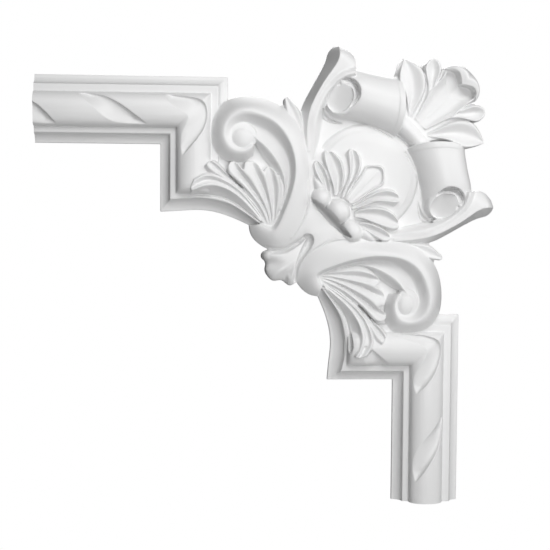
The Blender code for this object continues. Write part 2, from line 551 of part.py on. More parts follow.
def shell_middle(collection):
    """Makes the hollow middle lobe of the shell leaf and its curled tip."""
    edge = [(-15.0, -4.0, 13.0), (-8.0, 7.0, 13.0), (-3.6, 16.0, 12.6), (1.6, 23.0, 12.0), (5.6, 29.4, 10.0)]
    rim = [(-13.4, -6.0, 15.6), (-5.0, 5.6, 17.0), (0.4, 13.6, 18.8), (6.0, 20.6, 20.2), (10.4, 27.2, 20.0)]
    floor = [(-10.5, -10.5, 14.6), (-2.0, -2.0, 13.8), (5.0, 5.0, 13.8), (11.0, 11.0, 14.4),
             (17.0, 17.0, 15.6)]
    rails = [edge, rim, floor, [(z, x, h) for x, z, h in rim], [(z, x, h) for x, z, h in edge]]
    shapes = [(1, "straight"), (2, "hollow"), (2, "round"), (1, "straight")]
    loft("shell_hollow", rails, 7, shapes, "left", collection)
    outline = [(6.2, 30.6, 9.5), (11.0, 32.2, 9.5), (16.6, 32.6, 9.5), (22.4, 30.8, 9.5), (27.0, 27.0, 9.5)]
    crown = [(8.0, 29.0, 17.0), (11.8, 29.6, 20.0), (17.0, 29.4, 22.4), (21.8, 26.4, 23.6),
             (22.4, 22.4, 24.0)]
    lip = [(9.0, 28.0, 16.6), (12.4, 28.2, 19.6), (17.0, 27.0, 22.2), (19.6, 23.4, 23.2), (19.8, 19.8, 23.4)]
    foot = [(9.6, 27.2, 16.0), (12.6, 26.2, 17.0), (15.2, 23.4, 16.6), (16.4, 19.6, 16.0),
            (16.8, 16.8, 15.6)]
    rails = [half + [(z, x, h) for x, z, h in reversed(half[:-1])] for half in (outline, crown, lip, foot)]
    loft("shell_curl", rails, 0, [(2, "round"), (1, "straight"), (1, "straight")], "left", collection)


def plastic():
    """Makes the primer-white satin surface of the casting."""
    material = bpy.data.materials.new("white_polyurethane")
    material.use_nodes = True
    shader = material.node_tree.nodes["Principled BSDF"]
    shader.inputs["Base Color"].default_value = (0.86, 0.86, 0.85, 1.0)
    shader.inputs["Roughness"].default_value = 0.5
    shader.inputs["Metallic"].default_value = 0.0
    return material


def add_boolean(target, name, operation, collection):
    """Joins a collection's objects to the target, or cuts them from it."""
    step = target.modifiers.new(name, "BOOLEAN")
    step.operation = operation
    step.operand_type = "COLLECTION"
    step.collection = collection
    step.solver = "MANIFOLD"


def main():
    """Builds the corner piece."""
    clear_scene()
    part = new_collection("corner_piece")
    joined = new_collection("joined_forms")
    cutters = new_collection("cutters")
    hollows = new_collection("hollows")
    twist_hollows(hollows)
    for side in ("left", "right"):
        add_boolean(moulding(side, joined), "carve", "DIFFERENCE", hollows)
        foot_arc(side, joined)
        c_scroll(side, joined)
        leaf(side, joined)
        ribbon(side, joined)
        roll(side, joined)
        palmette(side, joined)
        shell_half(side, joined)
    ground(joined)
    disc(joined)
    palmette_middle(joined)
    neck(joined)
    shell_middle(joined)

    bm = bmesh.new()
    bmesh.ops.create_cube(bm, size=1.0)
    for vert in bm.verts:
        vert.co = (vert.co.x - 0.1, vert.co.y * 0.05 + 0.025, vert.co.z - 0.1)
    add_object("wall_cut", bm, cutters)

    piece = forms[0]
    joined.objects.unlink(piece)
    part.objects.link(piece)
    piece.name = PIECE
    piece.data.materials.append(plastic())
    add_boolean(piece, "join", "UNION", joined)
    add_boolean(piece, "flat_back", "DIFFERENCE", cutters)
    for helper in [*joined.objects, *hollows.objects, *cutters.objects]:
        helper.hide_render = True
        helper.display_type = "WIRE"


main()
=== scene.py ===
"""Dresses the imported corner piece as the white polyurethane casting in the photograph.

Every form of the relief is drawn in millimetres as places in the plan and heights over the wall. The
left half is drawn once and laid again, mirrored and a little changed, as the right half. The forms
are joined, cut, turned into one even skin and smoothed, as a casting from a carved pattern is.
"""

import json
import logging
import math
from dataclasses import dataclass
from enum import Enum

import bmesh
import bpy
import numpy as np
from mathutils import Matrix, Vector

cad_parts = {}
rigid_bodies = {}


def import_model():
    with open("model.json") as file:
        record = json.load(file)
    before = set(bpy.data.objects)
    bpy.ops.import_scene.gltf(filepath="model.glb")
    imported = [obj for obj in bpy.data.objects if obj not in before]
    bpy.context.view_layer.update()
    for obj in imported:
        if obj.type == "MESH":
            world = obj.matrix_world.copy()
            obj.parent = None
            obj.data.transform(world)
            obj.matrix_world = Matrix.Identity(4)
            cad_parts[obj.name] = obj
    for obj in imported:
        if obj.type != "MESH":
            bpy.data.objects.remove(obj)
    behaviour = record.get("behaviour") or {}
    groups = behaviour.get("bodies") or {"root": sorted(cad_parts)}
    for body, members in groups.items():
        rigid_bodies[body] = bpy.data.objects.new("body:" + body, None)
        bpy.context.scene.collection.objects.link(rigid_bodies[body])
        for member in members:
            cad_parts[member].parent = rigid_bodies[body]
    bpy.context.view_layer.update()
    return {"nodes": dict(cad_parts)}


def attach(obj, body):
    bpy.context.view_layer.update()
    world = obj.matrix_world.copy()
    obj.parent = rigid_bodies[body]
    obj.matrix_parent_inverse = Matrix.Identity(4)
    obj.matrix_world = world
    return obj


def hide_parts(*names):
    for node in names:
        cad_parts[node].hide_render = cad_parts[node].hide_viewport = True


LOG = logging.getLogger("corner_piece")

MM = 0.001
NODE = "corner_ornament"

# The moulding's section, in millimetres from its centre line and over the wall
HALF_WIDTH = 22.5
ARM_REACH = 264.5
STEP_LINE = -159.0
STEP_END = -57.0
MITRE_Z = -59.5
CUSP_Z = -67.8
EDGE_HEIGHT = 2.2
GROOVE_IN = -15.9
GROOVE_HEIGHT = 8.6
BEAD_OUT = 10.9
BEAD_IN = -11.85
BEAD_HEIGHT = 18.3
BEAD_LOW = 8.9
BEAD_CENTRE = (BEAD_OUT + BEAD_IN) / 2
BEAD_REACH = (BEAD_OUT - BEAD_IN) / 2
BEAD_FULLNESS = 0.8
BEAD_END = ((-45.0, 1.0), (-49.5, 0.98), (-52.0, 0.9), (-53.6, 0.75), (-54.8, 0.45), (-55.4, 0.0))
HOLLOW_DEPTH = 4.2
HOLLOW_WIDTH = 7.0
HOLLOW_CLEAR = 0.5
HOLLOW_STEPS = 14
HOLLOW_FULLNESS = 0.4
HOLLOW_SHALLOW = 0.3

# Levels and reaches shared by the forms, in millimetres
GROUND = 8.4
BURIED = 6.0
OVER_RELIEF = 40.0
RUN_ON = 6.0
PALMETTE_LEAN = 3.5
DISC_CENTRE = -44.0
DISC_RADIUS = 35.0

# How the small forms are rounded: places across them in half widths, and their rise for a half width
CORD_PLACES = (-1.0, -0.8, -0.4, 0.0, 0.4, 0.8, 1.0)
CORD_RISE = 1.6
VALLEY_PLACES = (-1.0, -0.9, -0.7, -0.4, 0.0, 0.4, 0.7, 0.9, 1.0)
VALLEY_RISE = 2.4
VALLEY_LEAST = 0.15
RING_STEPS = 120
DOME_STEPS = (64, 32)
LOBE_LEAST = 0.2
LOBE_FULL = 0.75
LOBE_PLACES = 16
LOBE_STATIONS = 44
TIP_STEPS = 8
TIP_END = 8.4

# The two rolls and the rod between them, in millimetres and degrees
ROLL_STEPS = 40
ROLL_FULLNESS = 0.85
ROLL_SINK = 1.5
RIM_PROUD = 0.45
EYE_CENTRE = (-62.6, 8.4)
EYE_RADII = (7.9, 10.0)
EYE_TURN = -24.0
EYE_FLOOR = (16.4, 0.54, 0.24, EYE_CENTRE)
ROD_MIDDLE = (-12.9, -14.4)
ROD_WAY = (0.68, -0.73)
ROD_HALF_LENGTH = 15.0
ROD_RADIUS = 6.0
ROD_RISE = 8.6
ROD_FOOT = 9.0
ROD_STEPS = 24

# How the casting's skin is made, in millimetres
SKIN_GRAIN = 0.38
SKIN_SMOOTHING = 6
SMOOTHING_SHARE = 0.5
MOST_TRIANGLES = 190_000
SHARP_DEGREES = 60.0
TRIM_REACH = 1e-7


class Side(Enum):
    """The half of the corner piece that a form lies on."""

    LEFT = "left"
    RIGHT = "right"


class Rise(Enum):
    """How the height goes from one rail to the next."""

    STRAIGHT = "straight"
    ROUND = "round"
    HOLLOW = "hollow"
    EASED = "eased"

    def share(self, t: float) -> float:
        """Gives the share of the height reached at a share of the way.

        Args:
            t: The share of the way, from 0 to 1.

        Returns:
            The share of the height, from 0 to 1.
        """
        if self is Rise.ROUND:
            return math.sin(t * math.pi / 2)
        if self is Rise.HOLLOW:
            return 1 - math.cos(t * math.pi / 2)
        if self is Rise.EASED:
            return t * t * (3 - 2 * t)
        return t


@dataclass(frozen=True)
class CarvingShift:
    """One place where the right half departs from the left one, in millimetres."""

    place: tuple[float, float]
    move: tuple[float, float]
    reach: float


CARVING_SHIFTS = (
    CarvingShift((-94.0, -40.0), (-4.0, 3.5), 17.0),
    CarvingShift((-108.0, -76.0), (-3.5, 2.4), 16.0),
    CarvingShift((-135.0, -40.0), (-3.5, 4.5), 14.0),
    CarvingShift((-160.0, -45.0), (-4.0, 3.6), 11.0),
    CarvingShift((-148.0, -3.0), (-0.5, 1.6), 10.0),
)


@dataclass(frozen=True)
class Finish:
    """The look of the cast surface: colours as sRGB hex and sizes in millimetres."""

    colour: str
    shade: str
    roughness: float
    roughness_swing: float
    mottle_size: float
    grain_size: float
    grain_height: float
    refraction: float


PRIMED_WHITE = Finish(
    colour="#E9E9E9",
    shade="#E4E4E4",
    roughness=0.42,
    roughness_swing=0.10,
    mottle_size=38.0,
    grain_size=1.6,
    grain_height=0.012,
    refraction=1.46,
)


def linear(hex_colour: str) -> tuple[float, float, float, float]:
    """Turns an sRGB hex colour into the linear colour that the shader takes.

    Args:
        hex_colour: The colour as a hash sign and six hexadecimal digits.

    Returns:
        The linear red, green, blue and alpha.
    """
    channels = []
    for start in (1, 3, 5):
        value = int(hex_colour[start:start + 2], 16) / 255
        channels.append(value / 12.92 if value <= 0.04045 else ((value + 0.055) / 1.055) ** 2.4)
    return (channels[0], channels[1], channels[2], 1.0)


def smooth_curve(points, count: int) -> np.ndarray:
    """Reads a natural cubic curve through points, at even steps of their numbering.

    Args:
        points: The points that the curve goes through.
        count: How many places are read.

    Returns:
        The places on the curve, one per row.
    """
    points = np.asarray(points, float)
    last = len(points) - 1
    matrix = np.eye(last + 1)
    right = np.zeros_like(points)
    for i in range(1, last):
        matrix[i, i - 1:i + 2] = (1 / 6, 2 / 3, 1 / 6)
        right[i] = points[i - 1] - 2 * points[i] + points[i + 1]
    bend = np.linalg.solve(matrix, right)
    place = np.linspace(0, last, count)
    i = np.minimum(place.astype(int), last - 1)
    t = (place - i)[:, None]
    s = 1 - t
    return s * points[i] + t * points[i + 1] + (s ** 3 - s) / 6 * bend[i] + (t ** 3 - t) / 6 * bend[i + 1]


def lay(rows, side: Side, carved: bool = True) -> np.ndarray:
    """Lays plan places and heights of the left half's terms in the world.

    Args:
        rows: Rows of x, z and height over the wall, in millimetres.
        side: The half to lay them on.
        carved: Whether the right half's departures are followed, as by all but the moulding.

    Returns:
        World points in metres.
    """
    rows = np.asarray(rows, float)
    x, z, h = rows[..., 0], rows[..., 1], rows[..., 2]
    if side is Side.RIGHT:
        weight = np.zeros_like(x)
        move = np.zeros((2, *x.shape))
        for shift in CARVING_SHIFTS if carved else ():
            w = np.exp(-((x - shift.place[0]) ** 2 + (z - shift.place[1]) ** 2) / (2 * shift.reach ** 2))
            weight = weight + w
            move[0] += w * shift.move[0]
            move[1] += w * shift.move[1]
        share = np.maximum(weight, 1.0)
        x, z = z + move[1] / share, x + move[0] / share
    return np.stack([x, -h, z], -1) * MM


def rounded(rails, reach: float, level: float) -> list:
    """Takes each rail a little further and down, so that the body's end is rounded.

    Args:
        rails: Rows of points of x, z and height, in millimetres.
        reach: How much further they go in the plan, in millimetres.
        level: The height that they end at, in millimetres.

    Returns:
        The longer rails.
    """
    longer = []
    for rail in np.asarray(rails, float):
        onward = rail[-1, :2] - rail[-2, :2]
        plan = rail[-1, :2] + onward / np.linalg.norm(onward) * reach
        longer.append(np.vstack([rail, (*plan, min(level, rail[-1, 2]))]))
    return longer


def across(line: np.ndarray) -> np.ndarray:
    """Gives the level direction square to a line at each of its places.

    Args:
        line: Rows of x, z and height.

    Returns:
        Rows of the direction's x and z.
    """
    along = np.gradient(line[:, :2], axis=0)
    along /= np.linalg.norm(along, axis=1)[:, None]
    return np.stack([-along[:, 1], along[:, 0]], 1)


def swapped(rail, lean: float = 0.0) -> list:
    """Mirrors a rail over the line between the halves.

    Args:
        rail: Points of x, z and height, in millimetres.
        lean: How far that line lies off the corner's own, in millimetres.

    Returns:
        The mirrored points.
    """
    return [(z + lean, x - lean, h) for x, z, h in rail]


def doubled(half, count: int = 40) -> list:
    """Runs a rail up to the line between the halves and back down on the other side.

    Args:
        half: Points of x, z and height up to that line, in millimetres.
        count: The places read along the half.

    Returns:
        The whole rail.
    """
    near = smooth_curve(half, count)
    return [*near, *swapped(near[-2::-1])]


def bead_height(offset: float) -> float:
    """Gives the height of the moulding's rounded bead.

    Args:
        offset: The distance from the moulding's centre line, in millimetres.

    Returns:
        The height over the wall, in millimetres.
    """
    share = (offset - BEAD_CENTRE) / BEAD_REACH
    round_share = math.sqrt(max(0.0, 1 - share ** 2)) ** BEAD_FULLNESS
    return BEAD_LOW + (BEAD_HEIGHT - BEAD_LOW) * round_share


class Pattern:
    """The carved pattern: the bodies that are joined, and those that are cut away."""

    def __init__(self) -> None:
        """Makes the collections that hold the bodies."""
        self.joined = self._collection("joined_forms")
        self.hollows = self._collection("twist_hollows")
        self.cuts = self._collection("carved_away")

    @staticmethod
    def _collection(name: str) -> bpy.types.Collection:
        """Makes a collection in the scene.

        Args:
            name: Its name.

        Returns:
            The new collection.
        """
        collection = bpy.data.collections.new(name)
        bpy.context.scene.collection.children.link(collection)
        return collection

    def store(self, name: str, bm: bmesh.types.BMesh, collection: bpy.types.Collection) -> bpy.types.Object:
        """Stores a body of flat triangles that all point out.

        Args:
            name: The body's name.
            bm: Its closed mesh, which is freed.
            collection: The collection that it goes into.

        Returns:
            The new object.
        """
        bmesh.ops.triangulate(bm, faces=bm.faces)
        bmesh.ops.recalc_face_normals(bm, faces=bm.faces)
        if bm.calc_volume(signed=True) < 0:
            bmesh.ops.reverse_faces(bm, faces=bm.faces)
        mesh = bpy.data.meshes.new(name)
        bm.to_mesh(mesh)
        bm.free()
        item = bpy.data.objects.new(name, mesh)
        collection.objects.link(item)
        return item

    def loft(self, name: str, side: Side, rails, spans=None, stations: int = 0, cut=None,
             carved: bool = True) -> bpy.types.Object:
        """Spans a surface across rails and closes it behind the wall, or in front of it for a cutter.

        Args:
            name: The body's name.
            side: The half that it lies on.
            rails: Rows of points of x, z and height, in millimetres.
            spans: For each gap between rails, its steps and how the height goes, or None for flat steps.
            stations: The places read along each rail, or 0 to take the rails as they are.
            cut: The collection of a cutter, or None for a body that is joined.
            carved: Whether the right half's departures are followed.

        Returns:
            The new object.
        """
        curves = [smooth_curve(rail, stations) if stations else np.asarray(rail, float) for rail in rails]
        rows = [curves[0]]
        spans = spans or [(1, Rise.STRAIGHT)] * (len(rails) - 1)
        for near, far, (steps, rise) in zip(curves, curves[1:], spans):
            for k in range(1, steps + 1):
                t = k / steps
                row = near * (1 - t) + far * t
                row[:, 2] = near[:, 2] + (far[:, 2] - near[:, 2]) * rise.share(t)
                rows.append(row)
        return self._sheet(name, lay(np.array(rows), side, carved), side, cut)

    def quilt(self, name: str, side: Side, rails, steps: int = 5, stations: int = 60) -> None:
        """Spans a surface that is smooth across its rails too, for flutes and folds.

        Args:
            name: The body's name.
            side: The half that it lies on.
            rails: Rows of points of x, z and height, in millimetres.
            steps: The steps between two rails.
            stations: The places read along each rail.
        """
        curves = np.array([smooth_curve(rail, stations) for rail in rails])
        rows = smooth_curve(curves.reshape(len(rails), -1), steps * (len(rails) - 1) + 1)
        self._sheet(name, lay(rows.reshape(-1, stations, 3), side), side, None)

    def _sheet(self, name: str, grid: np.ndarray, side: Side, cut) -> bpy.types.Object:
        """Closes a surface behind the wall, or in front of it for a cutter.

        Args:
            name: The body's name.
            grid: The surface's world points, in metres, by row and column.
            side: The half that it lies on.
            cut: The collection of a cutter, or None for a body that is joined.

        Returns:
            The new object.
        """
        rows, columns = grid.shape[:2]
        bm = bmesh.new()
        bmesh.ops.create_grid(bm, x_segments=columns - 1, y_segments=rows - 1, size=1.0)
        return self._thickened(name, bm, grid.reshape(-1, 3), side, cut)

    def _thickened(self, name: str, bm: bmesh.types.BMesh, places, side: Side, cut) -> bpy.types.Object:
        """Moves a flat mesh to its places and thickens it past the wall, or past the relief for a cutter.

        Args:
            name: The body's name.
            bm: The flat mesh, which is freed.
            places: The world point of each of its vertices, in metres.
            side: The half that it lies on.
            cut: The collection of a cutter, or None for a body that is joined.

        Returns:
            The new object.
        """
        for vert, place in zip(bm.verts, places):
            vert.co = place
        skin = bmesh.ops.extrude_face_region(bm, geom=bm.faces[:])
        depth = (BURIED if cut is None else -OVER_RELIEF) * MM
        for item in skin["geom"]:
            if isinstance(item, bmesh.types.BMVert):
                item.co.y = depth
        return self.store(f"{name}_{side.value}", bm, self.joined if cut is None else cut)

    def dome(self, name: str, side: Side, plan, radii, base: float, top: float, turn: float = 0.0,
             fullness: float = 1.0, tilt: float = 0.0) -> None:
        """Makes a half ellipsoid that stands on the relief.

        Args:
            name: The body's name.
            side: The half that it lies on.
            plan: The x and z of its centre, in millimetres.
            radii: Its two radii in the plan, in millimetres.
            base: The height of its foot, in millimetres.
            top: The height of its crown, in millimetres.
            turn: The turn of its first axis, in degrees.
            fullness: Under 1 flattens its crown and steepens its sides.
            tilt: How much higher the end of its first axis is, in millimetres.
        """
        bm = bmesh.new()
        bmesh.ops.create_uvsphere(bm, u_segments=DOME_STEPS[0], v_segments=DOME_STEPS[1], radius=1.0)
        bmesh.ops.delete(bm, geom=[vert for vert in bm.verts if vert.co.z < -0.01], context="VERTS")
        cosine, sine = math.cos(math.radians(turn)), math.sin(math.radians(turn))
        for vert in bm.verts:
            a, b, c = vert.co
            u, v = a * radii[0], b * radii[1]
            rise = (top - base) * max(0.0, c) ** fullness + tilt * a
            x, z = plan[0] + u * cosine - v * sine, plan[1] + u * sine + v * cosine
            vert.co = lay((x, z, base + rise), side)
        self._close_below(f"{name}_{side.value}", bm)

    def _close_below(self, name: str, bm: bmesh.types.BMesh) -> None:
        """Closes an open relief surface with a wall and a back behind the wall plane.

        Args:
            name: The body's name.
            bm: The open surface, which is freed.
        """
        wall = bmesh.ops.extrude_edge_only(bm, edges=[edge for edge in bm.edges if edge.is_boundary])
        for item in wall["geom"]:
            if isinstance(item, bmesh.types.BMVert):
                item.co.y = BURIED * MM
        bmesh.ops.holes_fill(bm, edges=bm.edges, sides=0)
        self.store(name, bm, self.joined)

    def prism(self, name: str, side: Side, outline, floor, cut=None) -> None:
        """Makes an upright body on an outline, or a cutter that clears everything over its floor.

        Args:
            name: The body's name.
            side: The half that it lies on.
            outline: The x and z of the outline's points, in millimetres.
            floor: The height at x and z: its value at the first point of the pair, and its slopes.
            cut: The collection of a cutter, or None for a body that is joined.
        """
        level, slope_x, slope_z, (at_x, at_z) = floor
        rows = [(x, z, level + slope_x * (x - at_x) + slope_z * (z - at_z)) for x, z in outline]
        bm = bmesh.new()
        bmesh.ops.create_circle(bm, cap_ends=True, radius=1.0, segments=len(rows))
        self._thickened(name, bm, lay(rows, side), side, cut)

    def rings(self, name: str, centre: tuple[float, float], profile) -> None:
        """Makes a turned body from its section.

        Args:
            name: The body's name.
            centre: The x and z of its middle, in millimetres.
            profile: Pairs of radius and height, outermost first, in millimetres.
        """
        bm = bmesh.new()
        bmesh.ops.create_circle(bm, radius=1.0, segments=RING_STEPS)
        loop, verts = list(bm.edges), list(bm.verts)
        ways = [vert.co.xy for vert in verts]
        for number, (radius, height) in enumerate(profile):
            if number:
                made = bmesh.ops.extrude_edge_only(bm, edges=loop)["geom"]
                loop = [item for item in made if isinstance(item, bmesh.types.BMEdge) and item.is_boundary]
                verts = [item for item in made if isinstance(item, bmesh.types.BMVert)]
                ways = [Vector((vert.co.x, vert.co.z)) - Vector(centre) * MM for vert in verts]
            for vert, way in zip(verts, ways):
                out = way.normalized() * radius
                vert.co = lay((centre[0] + out.x, centre[1] + out.y, height), Side.LEFT)
        bmesh.ops.edgeloop_fill(bm, edges=loop)
        self._close_below(name, bm)

    def lobe(self, name: str, side: Side, spine, widths, flute: float = 1.8, edge_drop: float = 3.0,
             rim: float = 0.62, point: float = 1.0) -> None:
        """Makes one leaf lobe with a flute along it.

        Args:
            name: The body's name.
            side: The half that it lies on.
            spine: Points of x, z and rim height along its middle, in millimetres.
            widths: Its half widths along the spine, in millimetres.
            flute: The flute's depth, or under 0 for a swelling.
            edge_drop: How far its edges fall from the rim.
            rim: Where the rims lie, in half widths.
            point: How far the tip reaches past the spine, in last half widths.
        """
        spine = smooth_curve(spine, LOBE_STATIONS)
        half = np.maximum(smooth_curve([(w, 0.0, 0.0) for w in widths], LOBE_STATIONS)[:, 0], LOBE_LEAST)
        heading = spine[-1, :2] - spine[-2, :2]
        heading /= np.linalg.norm(heading)
        tip, reach = spine[-1].copy(), half[-1]
        for k in range(1, TIP_STEPS + 1):
            angle = math.pi / 2 * k / TIP_END
            plan = tip[:2] + heading * reach * point * math.sin(angle)
            spine = np.vstack([spine, (*plan, tip[2] - edge_drop * 0.5 * (1 - math.cos(angle)))])
            half = np.append(half, reach * math.cos(angle))
        normal = across(spine)
        depth = flute * np.minimum(1.0, half / (LOBE_FULL * max(half)))
        rails = []
        for k in range(LOBE_PLACES + 1):
            offset = -1 + 2 * k / LOBE_PLACES
            if abs(offset) <= rim:
                drop = depth * (1 - (offset / rim) ** 2) ** 1.5
            else:
                drop = np.full(len(half), edge_drop * ((abs(offset) - rim) / (1 - rim)) ** 1.7)
            plan = spine[:, :2] + normal * (half * offset)[:, None]
            rails.append(np.column_stack([plan, spine[:, 2] - drop]))
        self.loft(name, side, rails)

    def cord(self, name: str, side: Side, line, radius: float, stations: int = 60) -> None:
        """Lays a thin raised line on the relief.

        Args:
            name: The body's name.
            side: The half that it lies on.
            line: Points of x, z and crest height, in millimetres.
            radius: Its half width and height, in millimetres.
            stations: The places read along it.
        """
        line = smooth_curve(line, stations)
        normal = across(line) * radius
        rails = []
        for offset in CORD_PLACES:
            drop = radius * CORD_RISE * (1 - math.sqrt(1 - offset ** 2))
            rails.append(np.column_stack([line[:, :2] + normal * offset, line[:, 2] - drop]))
        self.loft(name, side, rails)

    def valley(self, name: str, side: Side, line, widths, stations: int = 50) -> None:
        """Cuts a rounded valley along a line.

        Args:
            name: The cutter's name.
            side: The half that it lies on.
            line: Points of x, z and floor height, in millimetres.
            widths: Its half widths along the line, in millimetres.
            stations: The places read along it.
        """
        line = smooth_curve(line, stations)
        half = np.maximum(smooth_curve([(w, 0.0, 0.0) for w in widths], stations)[:, 0], VALLEY_LEAST)
        normal = across(line)
        rails = []
        for offset in VALLEY_PLACES:
            rise = half * VALLEY_RISE * (1 - math.sqrt(1 - offset ** 2))
            plan = line[:, :2] + normal * (half * offset)[:, None]
            rails.append(np.column_stack([plan, line[:, 2] + rise]))
        self.loft(name, side, rails, cut=self.cuts)


class Moulding:
    """The stepped and beaded moulding of the two arms."""

    def __init__(self, pattern: Pattern) -> None:
        """Takes the pattern that the bodies go into.

        Args:
            pattern: The carved pattern.
        """
        self.pattern = pattern

    @staticmethod
    def section() -> list[tuple[float, float]]:
        """Gives the moulding's section, inner edge first.

        Returns:
            Pairs of offset from the centre line and height, in millimetres.
        """
        inner = [(-HALF_WIDTH, EDGE_HEIGHT), (-21.2, 2.3), (-20.2, 2.7), (-19, 3.3), (-18, 4.1), (-17.2, 5),
                 (-16.6, 6.2), (-16.2, 7.6), (GROOVE_IN, GROOVE_HEIGHT), (BEAD_IN, BEAD_LOW)]
        bead = []
        for k in range(1, 24):
            offset = BEAD_CENTRE - BEAD_REACH * math.cos(math.pi * k / 24)
            bead.append((offset, bead_height(offset)))
        outer = [(BEAD_OUT, 10.4), (15.95, 10.4), (16.3, 9.2), (17, 7.6), (17.9, 6.4), (19, 5.6),
                 (20.1, 4.9), (21.2, 4.6), (HALF_WIDTH, 4.3)]
        return inner + bead + outer

    def arm(self, side: Side) -> bpy.types.Object:
        """Makes an arm, its mitred outer corner and the step down to the cusp.

        Args:
            side: The half that it lies on.

        Returns:
            The arm's object.
        """
        rails = []
        for offset, height in self.section():
            run_in = max(0, (offset - GROOVE_IN) / (-HALF_WIDTH - GROOVE_IN))
            rail = [(-ARM_REACH - RUN_ON, offset, height), (STEP_LINE + offset, offset, height)]
            for reach, share in BEAD_END:
                level = height if height < BEAD_LOW else BEAD_LOW + (height - BEAD_LOW) * share
                rail.append((STEP_LINE + offset, reach, level))
            end = STEP_END if offset > GROOVE_IN else MITRE_Z + (CUSP_Z - MITRE_Z) * run_in
            rail.append((STEP_LINE + offset, end, min(height, BEAD_LOW)))
            rails.append(rail)
        return self.pattern.loft("moulding", side, rails, carved=False)

    def twist(self) -> None:
        """Cuts the long leaf-shaped hollows that twist round the bead of both arms."""
        hollows = (
            (Side.LEFT,
             ((-284, -2), (-272, -8), (-262, -10.4), (-251, -10.6)),
             ((-284, 7), (-268, 5), (-258, -1), (-249.5, -10.2))),
            (Side.LEFT,
             ((-236, 9.2), (-226, 1), (-215, -8), (-203, -10), (-191, -10.4)),
             ((-235, 9.6), (-220, 8.6), (-207, 2.6), (-198, -4), (-190, -10))),
            (Side.LEFT,
             ((-178, 8.6), (-172, 0.6), (-163.4, -5), (-166.6, -13.6), (-168.1, -21.5), (-167.2, -30.6)),
             ((-177, 9.4), (-163, 8.4), (-152.4, 4.4), (-150.4, -6), (-155.2, -17), (-166.6, -30.6))),
            (Side.RIGHT,
             ((-250, -8.6), (-238, -10.3), (-226, -7), (-216, 1), (-208, 7.4)),
             ((-249, -7.4), (-239.5, -0.4), (-228, 6.4), (-217, 9.4), (-204, 10.2))),
            (Side.RIGHT,
             ((-190, -8.4), (-176, -9.8), (-161.5, -2), (-153.5, -12), (-150, -26)),
             ((-189, -7.6), (-175, 4), (-156, 7.6), (-149.6, -6), (-148.8, -26))),
            (Side.RIGHT,
             ((-172, -42), (-165, -45), (-157, -47)),
             ((-170.2, -25.5), (-163.6, -33.6), (-157, -41.5))),
        )
        for number, (side, low, high) in enumerate(hollows):
            low = smooth_curve(low, 60)
            high = smooth_curve(high, 60)
            width = np.minimum(1, np.linalg.norm(high - low, axis=1)[:, None] / HOLLOW_WIDTH)
            rails = []
            for k in range(HOLLOW_STEPS + 1):
                share = k / HOLLOW_STEPS
                deepest = HOLLOW_SHALLOW + (1 - HOLLOW_SHALLOW) * share
                bite = math.sin(math.pi * share) ** HOLLOW_FULLNESS * deepest
                rail = []
                for x, z, w in np.hstack([low * (1 - share) + high * share, width]):
                    surface = bead_height(max(z, x - STEP_LINE)) + HOLLOW_CLEAR
                    rail.append((x, z, surface - (HOLLOW_DEPTH * w + HOLLOW_CLEAR) * bite))
                rails.append(rail)
            self.pattern.loft(f"hollow_{number}", side, rails, cut=self.pattern.hollows, carved=False)

    def foot_arc(self, side: Side) -> None:
        """Makes the hollow edge and narrow band that run from the cusp to the scroll's foot.

        Args:
            side: The half that they lie on.
        """
        edge = [(-181.5, CUSP_Z, 2.2), (-168, -67, 2.3), (-155, -66.4, 2.4), (-143, -68.1, 2.6),
                (-132, -71.8, 2.8), (-121.5, -76.6, 3.2)]
        groove = [(-174.9, -59.5, 8.6), (-165, -58.7, 9.2), (-154.2, -58.3, 10), (-143.6, -59.8, 10.6),
                  (-132.4, -63.6, 11), (-115.5, -74.8, 11.2)]
        band = [(-171, -57.8, 8.9), (-162, -57.2, 9.6), (-153.8, -56.8, 10.4), (-143.6, -58.2, 11),
                (-132, -61.8, 11.4), (-114.6, -73.2, 11.6)]
        inner = [(-168, -56.2, 8.8), (-159, -55.4, 8.8), (-150.4, -54.8, 8.8), (-141.6, -56, 8.8),
                 (-130, -59.6, 8.8), (-112.6, -71.6, 8.8)]
        low, high = smooth_curve(edge, 70), smooth_curve(groove, 70)
        rails = []
        for offset, height in self.section():
            if offset <= GROOVE_IN:
                share = (offset + HALF_WIDTH) / (GROOVE_IN + HALF_WIDTH)
                rise = (height - EDGE_HEIGHT) / (GROOVE_HEIGHT - EDGE_HEIGHT)
                plan = low[:, :2] * (1 - share) + high[:, :2] * share
                rails.append(np.column_stack([plan, low[:, 2] * (1 - rise) + high[:, 2] * rise]))
        rails += [smooth_curve(band, 70), smooth_curve(inner, 70)]
        self.pattern.loft("foot_arc", side, rails, [(2, Rise.STRAIGHT)] * (len(rails) - 1), 0)
        upper = [(-158.5, -55.2, 9), (-154.2, -52, 15.5), (-145, -51, 15.5), (-135.6, -54.4, 14.5),
                 (-126.2, -61.2, 13), (-117.2, -70.6, 11)]
        lower = [(-159.4, -56.6, 8.9), (-154.6, -57, 8.9), (-144.8, -57.8, 8.9), (-134.4, -61.4, 8.9),
                 (-124.6, -68, 9.4), (-115.6, -74, 10)]
        self.pattern.loft("leaf_under", side, [upper, lower], [(10, Rise.ROUND)], 60)
        trough = [(-159, -56.2, 8.6), (-156, -56.2, 7.9), (-153, -56, 7.6), (-143.6, -57, 7.6),
                  (-133.4, -60.4, 7.6), (-123.6, -67.2, 8), (-115.2, -73.6, 9)]
        self.pattern.valley("trough", side, trough, (0.3, 1, 1, 0.9, 0.9, 0.8, 0.4))


